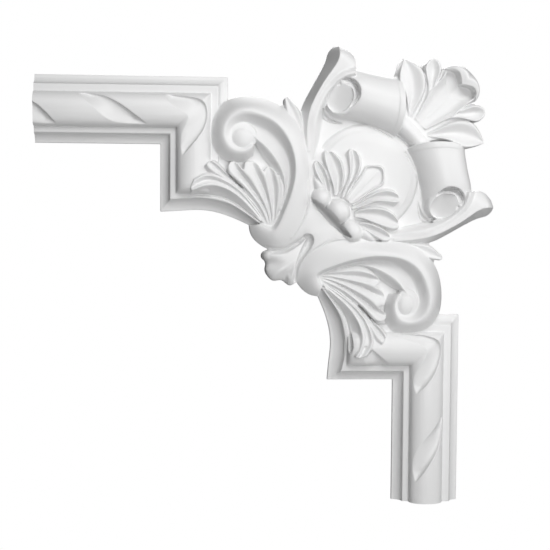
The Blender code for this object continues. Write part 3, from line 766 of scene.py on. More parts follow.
class Ornament:
    """The carved corner between the two arms."""

    def __init__(self, pattern: Pattern) -> None:
        """Takes the pattern that the bodies go into.

        Args:
            pattern: The carved pattern.
        """
        self.pattern = pattern

    def half(self, side: Side) -> None:
        """Carves all that lies on one half.

        Args:
            side: The half to carve.
        """
        self._scroll(side)
        self._leaf(side)
        self._ribbon(side)
        self._roll(side)
        self._palmette(side)
        self._shell_side(side)

    def middle(self) -> None:
        """Carves all that lies across the line between the halves."""
        self._ground()
        self._disc()
        self._palmette_middle()
        self._neck()
        self._keyhole()
        self._shell_middle()

    def _ground(self) -> None:
        """Lays the flat ground under the whole ornament, and the raised bed beside the neck."""
        half = [(-90, -90), (-100, -89), (-108, -86), (-113, -78), (-116, -73.5), (-132, -62.5),
                (-144, -58.8), (-154, -57.2), (-170, -57.2), (-172, -40), (-160, -10), (-146, -3),
                (-138, 3.5), (-121, 6.5), (-106, 3.5), (-97, 4), (-91, 1), (-86, 0), (-79, 14),
                (-71, 30), (-66, 39), (-58, 37), (-53, 27),
                (-30, 20), (-22, 25), (-19, 32), (-9, 28), (-2, 33), (4, 28), (16, 29), (23, 23)]
        self.pattern.prism("ground", Side.LEFT, half + [(-34, -34)], (GROUND, 0, 0, (0, 0)))
        self.pattern.prism("ground", Side.RIGHT, half + [(-30, -30)], (GROUND, 0, 0, (0, 0)))
        bed = [(-90, -14), (-78, -14), (-75, -30), (-76, -46), (-82, -60), (-92, -60)]
        for side in Side:
            self.pattern.prism("neck_bed", side, bed, (12, 0, 0, (0, 0)))

    def _scroll(self, side: Side) -> None:
        """Carves the scroll's band, the strand inside it and its eye.

        Args:
            side: The half that it lies on.
        """
        stations = (
            ((-121.8, -77, 6), (-115, -75.5, 11), (-112, -74, 9)),
            ((-118, -86.3, 5.5), (-110.5, -78.6, 13.4), (-109, -75.5, 9)),
            ((-104, -93.4, 7), (-105.6, -79.6, 15.4), (-106.5, -76, 9.5)),
            ((-91.5, -84.5, 12.5), (-101.6, -73.5, 17.2), (-103.6, -72.4, 10.5)),
            ((-85.2, -67, 15.5), (-96.6, -61, 20), (-98.8, -60.3, 12)),
            ((-83.2, -48, 16), (-92.5, -44.5, 22.5), (-95.1, -44.2, 13.6)),
            ((-84.2, -28, 15.6), (-93.8, -27.5, 23.5), (-97.4, -29, 13.8)),
            ((-90, -8.5, 13), (-102.6, -11.6, 24), (-106.8, -16.3, 13.8)),
            ((-104, 5, 9.5), (-115.6, -3.6, 23.8), (-117.6, -10.5, 14)),
            ((-121.5, 9.4, 8.5), (-127.6, -1.7, 23.3), (-127, -9.6, 16.4)),
            ((-138.5, 5.6, 8.8), (-136.3, -6.8, 22.5), (-132.6, -11.6, 17.4)),
            ((-148.4, -11, 10.4), (-139.4, -16.2, 21.6), (-134.6, -16.8, 18)),
            ((-143.6, -29, 10.4), (-134.6, -25, 20.8), (-131.4, -22.4, 18.2)),
            ((-130, -34.2, 10.4), (-126, -26.9, 20.2), (-126.6, -24, 18.2)),
            ((-119.6, -29.5, 11), (-120, -22.6, 19.6), (-122.4, -21.2, 18.3)),
        )
        rails = [[station[k] for station in stations] for k in range(3)]
        self.pattern.loft("scroll_band", side, rails, [(12, Rise.ROUND), (5, Rise.EASED)], 170)
        floor = [(-127, -9.4, 16.2), (-117.6, -10.6, 14.2), (-106.8, -16.5, 13.8), (-98.6, -27.5, 13.6),
                 (-95.4, -41, 13.2), (-97.2, -54, 12.6), (-101.2, -66, 11.5)]
        crest = [(-122.4, -15.2, 18.4), (-117.2, -19.6, 18.4), (-110.8, -25, 17.6), (-104.2, -33.5, 17),
                 (-99.6, -43.5, 16.2), (-99, -55, 14.4), (-102.2, -66, 12.4)]
        under = [(-122, -18.4, 17), (-118, -22.6, 14), (-113.8, -29.6, 10), (-107.6, -37.8, 9.6),
                 (-102, -46, 9.6), (-100.6, -56, 9.4), (-103.4, -66, 9.2)]
        spans = [(8, Rise.HOLLOW), (4, Rise.EASED)]
        self.pattern.loft("scroll_strand", side, [floor, crest, under], spans, 80)
        self.pattern.dome("scroll_bed", side, (-127.2, -17.6), (9.6, 9.4), 15, 18.3, fullness=0.3)
        self.pattern.dome("scroll_eye", side, (-127.2, -18.9), (7.4, 7), 15.7, 20.6, fullness=0.6)

    def _leaf(self, side: Side) -> None:
        """Carves the fan of lobes inside the scroll and the small leaf behind it.

        Args:
            side: The half that it lies on.
        """
        plate = (
            ((-109.1, -77.3, 9), (-112.9, -70.2, 9), (-117.1, -63.2, 9.5), (-123.9, -54.7, 10),
             (-130.6, -47.4, 11), (-135.9, -42.7, 12), (-137.6, -38.7, 13)),
            ((-108.7, -77.5, 10), (-112, -70.2, 12), (-116.2, -62.5, 13.5), (-122.6, -54.4, 15),
             (-129.4, -47.5, 16.5), (-135.2, -42.1, 17.6), (-136.7, -37.8, 17.8)),
            ((-108.4, -77.5, 10), (-110.8, -70.2, 11.8), (-114.7, -62.1, 13), (-120.7, -53.7, 14.2),
             (-127.1, -46, 15.5), (-132.8, -39.9, 16.6), (-135.2, -34.8, 17.2)),
            ((-108.2, -77.5, 10), (-109.8, -70.2, 10.8), (-113.5, -62.1, 11.1), (-119.4, -53.3, 12.1),
             (-125.6, -45.2, 13.1), (-130.5, -39.1, 14.3), (-132.8, -34.4, 15.7)),
            ((-108, -77.5, 10), (-109.4, -70.2, 11.8), (-112.7, -62.1, 13), (-118.2, -52.9, 14.4),
             (-123.8, -45.3, 15.8), (-128, -40.2, 16.8), (-129.8, -36.2, 17)),
            ((-107.8, -77.5, 10), (-109, -70.2, 12.4), (-111.8, -62.1, 14), (-116.8, -52.9, 15.8),
             (-121.3, -45.7, 17.4), (-124.5, -42, 18.2), (-126.6, -39.6, 17.8)),
            ((-107.7, -77.5, 10), (-108.5, -70.2, 11.8), (-110.8, -62.1, 13.2), (-115.1, -52.9, 14.8),
             (-119.2, -45.2, 16.4), (-122.7, -39.8, 17.4), (-125.7, -35.8, 17.2)),
            ((-107.5, -77.5, 10), (-108.1, -70.2, 11.4), (-110.1, -62, 12.4), (-113.7, -52.9, 13.8),
             (-117.4, -45.2, 15.2), (-120.6, -39, 16.4), (-123.5, -34, 16.8)),
            ((-107.4, -77.5, 10), (-107.6, -70.2, 10.8), (-109.4, -62, 11.1), (-112.4, -52.8, 12.3),
             (-115.9, -45.1, 13.5), (-118.9, -39.3, 14.7), (-120.8, -34.2, 15.5)),
            ((-107.2, -77.5, 10), (-107.2, -70.2, 11.8), (-108.7, -62, 13), (-111.1, -52.8, 14.4),
             (-113.7, -45.9, 15.8), (-115.8, -40.8, 16.8), (-116.8, -36.1, 17)),
            ((-106.9, -77.5, 10), (-106.8, -70.2, 12.4), (-107.9, -62, 14), (-110, -52.9, 15.8),
             (-111.6, -46.7, 17.2), (-112.8, -43, 18), (-113.4, -40.5, 17.6)),
            ((-106.7, -77.5, 10), (-106.2, -70.2, 11.8), (-106.8, -62, 13.2), (-108.2, -53.2, 14.6),
             (-109.7, -46.6, 16), (-110.9, -41.9, 16.8), (-111.8, -38.9, 16.8)),
            ((-106.5, -77.5, 10), (-105.6, -70.2, 10.8), (-105.7, -62, 11.3), (-106.2, -53.1, 12.5),
             (-107.1, -46.5, 13.7), (-108.3, -41.4, 14.7), (-109.4, -37.5, 15.3)),
            ((-106.3, -77.5, 10), (-105, -70.2, 11.8), (-104.4, -62, 13.2), (-104.3, -53.2, 14.6),
             (-104.8, -47.3, 15.8), (-105.8, -43.3, 16.6), (-106.6, -39.4, 16.8)),
            ((-106, -77.5, 10), (-104.1, -70.1, 12.2), (-102.7, -62, 14), (-102, -53.9, 15.6),
             (-102.6, -48.8, 16.6), (-103.5, -45.1, 17.2), (-104.2, -42.3, 17)),
            ((-105.4, -77.5, 9), (-102.8, -70.9, 9.5), (-100.4, -62.7, 10.5), (-99.3, -55.3, 12),
             (-100.2, -49.4, 13), (-101.5, -45.7, 13.5), (-102.9, -42.6, 13.5)),
        )
        curl_high = (
            ((-109.5, -77.3, 9), (-116.3, -67.3, 9), (-124.5, -57.7, 9), (-133.5, -49.6, 9.5),
             (-142.5, -44.5, 10), (-150.3, -42.6, 11), (-154.7, -39.9, 12)),
            ((-109.2, -77.3, 10), (-115.3, -67.3, 12), (-123.3, -57.7, 14), (-132.3, -50.5, 15.5),
             (-140.8, -44.4, 17.2), (-147.5, -40.1, 19), (-151, -36.3, 19.5)),
            ((-109, -77.4, 10), (-114.6, -67.3, 11.2), (-122.4, -57.3, 12.2), (-131.1, -49.3, 13.2),
             (-138.9, -42.6, 14.6), (-145.3, -37.5, 16.2), (-149.2, -34.7, 17.8)),
            ((-108.7, -77.5, 10), (-113.9, -67.3, 12), (-121.1, -57.7, 13.8), (-129.3, -50.1, 15.4),
             (-136.8, -43.2, 17), (-142.7, -37.5, 18.4), (-147.5, -33.9, 19.2)),
            ((-108.4, -77.5, 9), (-113, -68, 10), (-120.2, -58.4, 11), (-128.1, -51.1, 12),
             (-135.3, -44.6, 13), (-140, -38, 14), (-145.6, -33.1, 14)),
        )
        curl_low = (
            ((-109.9, -77.5, 9), (-117.7, -70.3, 8.8), (-126.7, -61.4, 9), (-136.4, -54.8, 9),
             (-146.1, -53.1, 9.5), (-155.7, -54.7, 10.5), (-162, -55.8, 11)),
            ((-109.5, -77.5, 10), (-117, -69.9, 12), (-125.9, -60.3, 14), (-135.2, -53.5, 16),
             (-144.9, -49.9, 18), (-153.7, -50.6, 19.6), (-160.6, -53.9, 19.6)),
            ((-109.3, -77.5, 10), (-116.4, -69.1, 11.1), (-124.7, -59.2, 12.2), (-133.7, -51.6, 13.6),
             (-143.3, -47.1, 15), (-151.8, -46.9, 16.4), (-161.3, -51.9, 18.6)),
            ((-109.1, -77.5, 10), (-115.8, -68.8, 12), (-124, -58.5, 14), (-132.7, -50.5, 16),
             (-141.9, -45.5, 18), (-151.1, -43.6, 19.6), (-159.5, -47.2, 19.8)),
            ((-108.8, -77.5, 9), (-115.2, -68.4, 9.5), (-122.9, -57.7, 10), (-131.3, -48.9, 10.5),
             (-141.8, -43.7, 11.5), (-152.5, -40.9, 12.5), (-160.9, -45.6, 13)),
        )
        self.pattern.quilt("leaf_plate", side, plate)
        self.pattern.quilt("leaf_curl_high", side, curl_high)
        self.pattern.quilt("leaf_curl_low", side, curl_low)
        back = [(-88, -18.6, 15.2), (-90.2, -9.5, 14.5), (-93.4, -1.5, 13.8), (-96.8, 6.2, 12.5)]
        self.pattern.lobe("leaf_back", side, back, (1.4, 3.5, 4.8, 2.4), flute=1.2, point=1.3)

    def _ribbon(self, side: Side) -> None:
        """Carves the ribbon that climbs from the neck, its pointed leaf and its turn into the roll.

        Args:
            side: The half that it lies on.
        """
        foot = [(-84.6, -27, 14.4), (-87.4, -12, 11), (-87, 1, 8), (-82.5, 12, 6),
                (-76.4, 23.2, 5), (-71.2, 33.5, 5), (-69.2, 40, 5.5), (-66, 43.6, 6.5)]
        crest = [(-84, -27, 16), (-84.4, -12, 17.6), (-82.4, 1, 18.6), (-77.6, 12, 19.6),
                 (-71.6, 22, 20.6), (-65.4, 31, 21.4), (-63.4, 38, 21), (-63.6, 43, 14)]
        back = [(-82, -27, 16), (-82, -12, 17.6), (-79.6, 1, 18.6), (-74.6, 11.6, 18.8),
                (-65, 22, 18.8), (-54, 27.5, 18), (-53, 35.5, 15), (-58.5, 41.8, 12)]
        spans = [(6, Rise.STRAIGHT), (8, Rise.HOLLOW)]
        self.pattern.loft("ribbon_leaf", side, [foot, crest, back], spans, 90)
        left = [(-83.8, -36, 14.6), (-84, -12, 17.2), (-82, 1, 18), (-77, 11.5, 18.2),
                (-69.5, 20, 19), (-61, 26.2, 20), (-52, 29, 18)]
        middle = [(-80.6, -38, 13.4), (-79.6, -12, 18), (-77.4, 0, 18.8), (-73.4, 9, 19.2),
                  (-68.2, 16.4, 19.8), (-61, 22.4, 21.6), (-53, 25, 22.4)]
        right = [(-78.4, -40, 11.4), (-75, -12.5, 12), (-72.8, -1, 12.4), (-70.4, 7, 13.6),
                 (-66.4, 13.6, 15), (-60.5, 19, 16), (-52, 21, 18)]
        self.pattern.loft("ribbon_face", side, [left, middle, right], [(6, Rise.ROUND), (8, Rise.EASED)], 90)

    def _roll(self, side: Side) -> None:
        """Carves the rolled scroll that flares to its mouth, with the slanted eye at its tight end.

        Args:
            side: The half that it lies on.
        """
        stations = (
            ((-62.5, 24.4), (-61.5, -3.8), 20.8, 0),
            ((-56.5, 27.4), (-56, -4.9), 22.8, 0),
            ((-50.5, 28.4), (-50, -6.1), 24.4, 0.4),
            ((-43, 26.8), (-43.5, -7.9), 25.2, 1),
            ((-34.5, 24.9), (-36, -10.6), 25.6, 2),
            ((-24.8, 23.2), (-25.6, -16.2), 25.7, 5.2),
        )
        rails = []
        for k in range(ROLL_STEPS + 1):
            angle = math.pi * k / ROLL_STEPS
            share = (1 - math.cos(angle)) / 2
            rise = math.sin(angle) ** ROLL_FULLNESS
            rail = []
            for (tx, tz), (bx, bz), crown, bow in stations:
                x, z = tx + (bx - tx) * share + bow * math.sin(angle), tz + (bz - tz) * share
                rail.append((x, z, GROUND - ROLL_SINK + (crown - GROUND + ROLL_SINK) * rise))
            rails.append(smooth_curve(rail, 60))
        self.pattern.loft("roll", side, rails)
        rim = [rail[[-4, -1]] + [(0, 0, RIM_PROUD), (0.2, 0, RIM_PROUD)] for rail in rails]
        self.pattern.loft("roll_rim", side, rim)
        self.pattern.dome("roll_end", side, (-61.3, 7.9), (9.6, 11.6), 9, 20.6, -22, fullness=0.35, tilt=1.2)
        crescent_out = [(-64, 19.6, 20.4), (-61.2, 21.2, 16.4), (-57.6, 22, 13.2), (-53.6, 20.4, 12),
                        (-50.9, 17.2, 11.8), (-49.7, 13.2, 12), (-49.9, 9.4, 13.2), (-51.7, 5.8, 15.6),
                        (-54.9, 2.6, 19), (-58.4, 0.6, 21)]
        crescent_in = [(-63.4, 18.8, 20.6), (-60.4, 18.1, 19.8), (-57.4, 16.6, 19.2), (-55.2, 14.8, 19),
                       (-54.1, 12.2, 19), (-53.9, 9.5, 19.1), (-54.5, 6.7, 19.4), (-55.9, 4.1, 19.9),
                       (-57.4, 2, 20.6), (-58.8, 0.4, 21.2)]
        self.pattern.loft("crescent", side, [crescent_out, crescent_in], [(10, Rise.ROUND)], 80,
                          self.pattern.cuts)
        corner = [(-73.4, 2, 8), (-71.6, -3.4, 5), (-66.5, -6.4, 6), (-59, -8, 8)]
        self.pattern.valley("roll_corner", side, corner, (0.5, 1.8, 1.2, 0.4))
        shadow = [(-64, -5.2, 8.5), (-57, -6.4, 8.6), (-50, -7.6, 9.4), (-43.4, -9.2, 10.2),
                  (-36, -12, 10.6), (-26.4, -17.6, 10.6)]
        self.pattern.valley("roll_edge", side, shadow, (0.5, 0.9, 0.9, 0.8, 0.8, 0.6))
        oval = []
        turn = math.radians(EYE_TURN)
        for k in range(48):
            angle = 2 * math.pi * k / 48
            u, v = EYE_RADII[0] * math.cos(angle), EYE_RADII[1] * math.sin(angle)
            oval.append((EYE_CENTRE[0] + u * math.cos(turn) - v * math.sin(turn),
                         EYE_CENTRE[1] + u * math.sin(turn) + v * math.cos(turn)))
        self.pattern.prism("eye_face", side, oval, EYE_FLOOR, self.pattern.cuts)
        under_top = [(-70, 4, 12.5), (-65, 2.4, 14), (-58, 2.4, 16.5), (-50, 5, 22),
                     (-46, 5, 23)]
        under_bottom = [(-70.4, -1, 8), (-66, -4.4, 7.6), (-59, -5.8, 7.4), (-50.5, -6.6, 7.2),
                        (-46, -7.2, 7)]
        self.pattern.loft("roll_under", side, [under_top, under_bottom], [(12, Rise.HOLLOW)], 50)

    def _disc(self) -> None:
        """Carves the smooth disc behind the palmette, with its bevelled edge."""
        profile = ((DISC_RADIUS + 0.8, 9), (DISC_RADIUS + 0.2, 10.2), (DISC_RADIUS - 0.8, 11.2),
                   (DISC_RADIUS - 3.6, 12.2), (DISC_RADIUS - 4.6, 12.9), (24, 14), (9, 15))
        self.pattern.rings("disc", (DISC_CENTRE, DISC_CENTRE), profile)

    def _palmette(self, side: Side) -> None:
        """Carves one half of the palmette: its curved lobes and its side bead.

        Args:
            side: The half that it lies on.
        """
        lobes = (
            ("palmette_first", (
                ((-61.4, -57.6, 13.8), (-59.4, -50.7, 13.8), (-56.5, -43.2, 13.8), (-56.3, -36.1, 13.3),
                 (-57.6, -32.4, 12.8), (-59.5, -30.3, 12.3)),
                ((-60.9, -57.8, 17.3), (-58.7, -50.8, 18.7), (-55.8, -43.3, 19.3), (-55.4, -35.9, 19.3),
                 (-55.9, -30, 18.9), (-56.1, -25.9, 17.9)),
                ((-59.7, -57.6, 15), (-57, -50.7, 14.4), (-53.6, -43.2, 14.2), (-52.3, -36.1, 14.4),
                 (-52.7, -30.7, 14.8), (-54, -25.1, 15.4)),
                ((-58.7, -57.6, 17.3), (-55.6, -50.8, 18.7), (-51.5, -43.3, 19.3), (-49.4, -36.2, 19.3),
                 (-49.7, -30.8, 18.9), (-51.6, -26.5, 17.9)),
                ((-58.1, -57.4, 13.8), (-54.3, -50.7, 13.8), (-49.8, -43.2, 13.8), (-47.3, -36, 13.3),
                 (-47.5, -31, 12.8), (-49.3, -28, 12.3)),
            )),
            ("palmette_second", (
                ((-66, -56.2, 13.8), (-66.7, -50.8, 13.8), (-69.3, -43.4, 13.8), (-72, -36.3, 13.3),
                 (-73.7, -31.7, 12.8), (-73.4, -27.5, 11.8)),
                ((-65.6, -56.2, 17.3), (-66, -50.8, 18.7), (-68.2, -43.4, 19.3), (-70.6, -36.4, 19.3),
                 (-72, -31.1, 18.9), (-72.1, -26.7, 17.7)),
                ((-64.2, -56.2, 15), (-63.1, -50.8, 14.4), (-63.2, -43.3, 14.2), (-65.2, -36.3, 14.4),
                 (-67.5, -31.3, 14.8), (-70.1, -26.6, 15)),
                ((-63.1, -56.2, 17.3), (-61.3, -50.8, 18.7), (-60.5, -43.4, 19.3), (-61.4, -36.3, 19.3),
                 (-64.1, -31, 18.9), (-67.7, -27, 17.7)),
                ((-62.5, -56, 13.8), (-60, -50.7, 13.8), (-58.9, -43.2, 13.8), (-59.4, -37, 13.3),
                 (-61.5, -31.6, 12.8), (-64.8, -27.9, 11.8)),
            )),
            ("palmette_third", (
                ((-72.8, -52.5, 13.8), (-74.9, -48.4, 13.8), (-78, -43.4, 13.3), (-80, -38, 12.8),
                 (-80.4, -35.5, 11.8)),
                ((-72.2, -52.7, 17.3), (-73.7, -48.4, 18.7), (-76.5, -43.5, 19.3), (-78.7, -38.2, 18.9),
                 (-79.1, -34, 17.3)),
                ((-70.7, -53.2, 15), (-71.3, -48.4, 14.6), (-73.2, -43, 14.6), (-75.6, -37.6, 14.8),
                 (-78.1, -33.3, 15)),
                ((-69.3, -53.5, 17.3), (-69.6, -48.4, 18.7), (-71.2, -43, 19.3), (-73.5, -37.7, 18.9),
                 (-76.7, -33.7, 17.3)),
                ((-68.6, -53.5, 13.8), (-68.3, -48.3, 13.8), (-69.6, -42.9, 13.3), (-72, -37.1, 12.8),
                 (-74.8, -34.2, 11.8)),
            )),
            ("palmette_last", (
                ((-78.6, -52.2, 12.3), (-79.3, -50, 11.8), (-79.7, -47.1, 11.8), (-79.7, -44.2, 10.8)),
                ((-77.8, -52.4, 16.8), (-78.1, -50.1, 17.7), (-79, -47.2, 17.5), (-79.7, -43.6, 15.8)),
                ((-73.7, -52.6, 17.3), (-74.2, -50.1, 18.3), (-76.5, -46.8, 17.9), (-78.8, -43.9, 15.8)),
                ((-72.6, -52.7, 12.8), (-73, -49.6, 12.8), (-75.2, -46, 12.3), (-77.8, -44.2, 11.3)),
            )),
        )
        lean = (-PALMETTE_LEAN, PALMETTE_LEAN, 0) if side is Side.RIGHT else (0, 0, 0)
        for name, rails in lobes:
            self.pattern.quilt(name, side, [np.add(rail, lean) for rail in rails])
        place = (-74.5, -57.8) if side is Side.LEFT else (-77.6, -55.2)
        self.pattern.dome("bead_side", side, place, (7, 6.6), 11, 22.4, -38, 0.65)

    def _palmette_middle(self) -> None:
        """Carves the spade-shaped lobe on the axis, the middle bead, the slit under it and the rod."""
        outline = [(-59, -58.2, 14), (-57.4, -55.3, 14.5), (-53.4, -49.2, 14.5), (-49.3, -43.6, 14.5),
                   (-46.7, -38.8, 14), (-44.8, -36, 13.5), (-41.6, -35.2, 13), (-38.2, -35.3, 13),
                   (-34.8, -35.4, 13), (-32.8, -36.3, 13)]
        border = [(-58.4, -58.6, 17), (-57, -55.9, 18.4), (-52.9, -49.7, 18.6), (-48.8, -44.2, 18.6),
                  (-46.2, -39.7, 18.4), (-44.4, -37.2, 18), (-41.7, -36.3, 18), (-38.7, -36.4, 18),
                  (-35.6, -36.7, 18), (-34.1, -37.6, 17.8)]
        plate = [(-57.5, -59.1, 16.8), (-55.8, -56.5, 17), (-51.9, -50.5, 17), (-47.8, -45, 17),
                 (-45.3, -40.6, 16.6), (-43.5, -38.2, 16), (-40.9, -37.3, 15.6), (-38.4, -37.4, 15.4),
                 (-36.4, -37.9, 15.4), (-35.3, -38.8, 15.6)]
        axis = [(-56.4, -59.9, 17), (-55.3, -58.8, 17.2), (-51.9, -55.4, 17.2), (-47.8, -51.3, 17.2),
                (-44.4, -47.9, 17), (-41.1, -44.6, 16.6), (-38.5, -42, 16.2), (-36.9, -40.4, 15.8),
                (-36.2, -39.7, 15.5), (-35.7, -39.2, 15.4)]
        far = [swapped(rail, PALMETTE_LEAN) for rail in (plate, border, outline)]
        spans = [(3, Rise.ROUND), (3, Rise.EASED), (4, Rise.STRAIGHT), (4, Rise.STRAIGHT),
                 (3, Rise.EASED), (3, Rise.HOLLOW)]
        self.pattern.loft("palmette_spade", Side.LEFT, [outline, border, plate, axis, *far], spans, 60)
        self.pattern.cord("spade_vein", Side.LEFT, [(x, z, h + 0.5) for x, z, h in axis[:-2]], 0.55)
        self.pattern.dome("bead_middle", Side.LEFT, (-62.9, -66.4), (8.9, 7.4), 11, 23.6, -45, 0.65)
        left = [(-72.4, -66.2, 17), (-69.6, -62.2, 18.2), (-67.2, -58, 16)]
        right = [(-74.8, -63.2, 17), (-72.4, -59.4, 18.2), (-69.8, -55.6, 16)]
        self.pattern.valley("bead_crease", Side.LEFT, left, (0.7, 0.6, 0.7))
        self.pattern.valley("bead_crease", Side.RIGHT, right, (0.7, 0.6, 0.7))
        self._rod()
        low = [(-81.6, -57.6, 13), (-77.3, -64.6, 6), (-73.1, -69.6, 4.6), (-68.7, -74.3, 4.4),
               (-64.1, -78.5, 4.6), (-59.9, -81.8, 6), (-54, -84.6, 13)]
        deep = [(-81.3, -57.5, 14), (-77, -62.9, 7), (-72.4, -67.4, 5.2), (-67.7, -72.1, 5),
                (-63, -76.8, 5.2), (-59.1, -80.6, 7), (-54, -84.2, 14)]
        high = [(-81.2, -57.3, 20), (-76.5, -60.5, 20.4), (-71.1, -63.8, 20.8), (-66, -68.7, 21),
                (-61.2, -74, 20.8), (-57.9, -78.6, 20.4), (-54.2, -83.6, 20)]
        self.pattern.loft("slit", Side.LEFT, [low, deep, high], [(4, Rise.STRAIGHT), (10, Rise.HOLLOW)], 70,
                          self.pattern.cuts)

    def _rod(self) -> None:
        """Carves the half round rod that runs from one roll's mouth to the other's."""
        rails = []
        for k in range(ROD_STEPS + 1):
            angle = math.pi * k / ROD_STEPS
            off, rise = -ROD_RADIUS * math.cos(angle), ROD_RISE * math.sin(angle)
            rails.append([(ROD_MIDDLE[0] + ROD_WAY[0] * run - ROD_WAY[1] * off,
                           ROD_MIDDLE[1] + ROD_WAY[1] * run + ROD_WAY[0] * off, ROD_FOOT + rise)
                          for run in (-ROD_HALF_LENGTH, ROD_HALF_LENGTH)])
        self.pattern.loft("rod", Side.LEFT, rails)

    def _neck(self) -> None:
        """Carves the smooth neck under the palmette, and the three-lobed pendant at its foot."""
        left = [(-83.6, -20, 15.4), (-85.4, -34, 16), (-85.6, -48, 16.2), (-86.6, -62, 15.6),
                (-90, -74, 14.4), (-92.6, -84.2, 12.6), (-96.5, -90.5, 9)]
        near = [(-77, -20, 11.4), (-77, -35, 13.4), (-77.4, -48, 14.2), (-79.6, -62, 14.8),
                (-83, -72.6, 14.8), (-86.4, -81.8, 13.2), (-91.5, -88.5, 9.5)]
        axis = [(-52, -52, 11.5), (-58, -58, 11.6), (-64, -64, 11.8), (-70.2, -70.2, 13.2),
                (-76, -76, 14.5), (-83, -83, 13.8), (-87.5, -87.5, 9.5)]
        rails = [left, near, axis, swapped(near), swapped(left)]
        spans = [(4, Rise.STRAIGHT), (8, Rise.EASED), (8, Rise.EASED), (4, Rise.STRAIGHT)]
        self.pattern.loft("neck", Side.LEFT, rails, spans, 70)
        pendant = (
            ((-84.4, -85.8, 9), (-88, -88.3, 9), (-92.4, -91, 8.5), (-97.6, -93.1, 8),
             (-102.8, -93.9, 7.5), (-106.5, -94.2, 7), (-109.4, -94.2, 6.5)),
            ((-84.6, -86.1, 12), (-87.9, -88.8, 12.5), (-92.1, -91.7, 13), (-96.9, -94.4, 13.4),
             (-101.8, -95.4, 13.4), (-106.5, -95.4, 12.8), (-110.4, -95.4, 10.5)),
            ((-84.5, -86.4, 12), (-87.7, -89.5, 13), (-91.8, -93.1, 14), (-96.6, -96, 14.4),
             (-101.8, -97.2, 14.4), (-107, -97.6, 13.6), (-111.6, -97.7, 10.5)),
            ((-84.5, -86.5, 12), (-87.4, -90.2, 13), (-91.2, -94.5, 14.2), (-95.4, -98.3, 14.6),
             (-99.9, -100.5, 14), (-105, -101.7, 11.8), (-109.6, -102.4, 9)),
            ((-84.5, -86.7, 12), (-87.2, -90.8, 13.2), (-90.7, -95.6, 14.4), (-94.8, -100.1, 14.8),
             (-99.2, -103.1, 14.6), (-104.3, -105.4, 13.6), (-110, -106.7, 10.5)),
            ((-84.5, -86.8, 12), (-86.8, -91.4, 13.2), (-90.2, -96.4, 14.6), (-94, -101.2, 15),
             (-98.1, -104.9, 14.8), (-102.4, -108.7, 13.8), (-105.7, -112.8, 10)),
            ((-84.4, -87, 12), (-86.5, -91.9, 13.2), (-89.5, -97.1, 14.6), (-92.4, -102, 14.6),
             (-95.5, -106.1, 13.2), (-98.2, -109.9, 10.8), (-99.7, -112.6, 8.5)),
            ((-84.4, -87.1, 12), (-86.1, -92.3, 13.2), (-88.7, -97.5, 14.4), (-90.8, -102.3, 14.8),
             (-92.8, -106.8, 14.6), (-94.2, -111.3, 13.4), (-95, -115.8, 10)),
            ((-84.3, -87.1, 11.6), (-85.6, -92.3, 12.6), (-87.9, -97.4, 13.4), (-89.6, -102, 13.6),
             (-91, -106.8, 13.2), (-91.7, -111, 12), (-91.5, -114.9, 9)),
            ((-83.9, -87.3, 9), (-84.6, -92.3, 9), (-86.3, -96.9, 8.5), (-88, -101.5, 8),
             (-89.3, -106.7, 7.5), (-89.7, -110.9, 7), (-89.8, -114.3, 7)),
        )
        self.pattern.quilt("pendant", Side.LEFT, rounded(pendant, 0.9, 5.5))
        self.pattern.dome("pendant_upper", Side.LEFT, (-108.4, -97), (5.2, 4), 5, 13.4)
        self.pattern.dome("pendant_corner", Side.LEFT, (-104.2, -106.2), (6.8, 6.4), 5, 12.8)
        self.pattern.dome("pendant_lower", Side.LEFT, (-94.4, -110), (3.9, 5.8), 5, 13.6)
        bed = [(-83, -83), (-92, -83), (-104, -88), (-107, -93), (-105, -99), (-98, -105), (-92, -108),
               (-88, -101), (-83, -93), (-81, -86)]
        self.pattern.prism("pendant_bed", Side.LEFT, bed, (8.4, 0, 0, (0, 0)))
        crease = [(-83.2, -46, 16.8), (-82.9, -55, 16.5), (-83, -62.6, 16.4), (-84.6, -69.3, 16.2),
                  (-87.3, -74.8, 15.6), (-91, -80.4, 14.6), (-94.2, -85, 13.4)]
        for side in Side:
            self.pattern.cord("neck_crease", side, crease, 0.6)

    def _keyhole(self) -> None:
        """Cuts the pit over the pendant and the valleys that run down from it on both sides."""
        pit = [(-86.1, -84.9, 10.5), (-84.1, -83.7, 8.5), (-81.9, -84.4, 7.5), (-81.9, -87.4, 7),
               (-84.6, -92.7, 6.6), (-87.1, -97.2, 6), (-89.6, -103.8, 5), (-90.4, -109.3, 4.5),
               (-90.7, -115, 4)]
        self.pattern.valley("keyhole", Side.LEFT, pit, (0.8, 1.7, 2.4, 2.8, 2.6, 2.1, 1.5, 1.3, 1.3), 90)
        left = [(-85.6, -84.7, 10.4), (-89.8, -87.7, 8.6), (-93.5, -90.2, 7.2), (-97.4, -92, 6.2),
                (-103.5, -92.5, 5.2), (-111, -91, 4)]
        self.pattern.valley("pendant_edge", Side.LEFT, left, (0.8, 1.2, 1.5, 1.6, 1.5, 1.4))

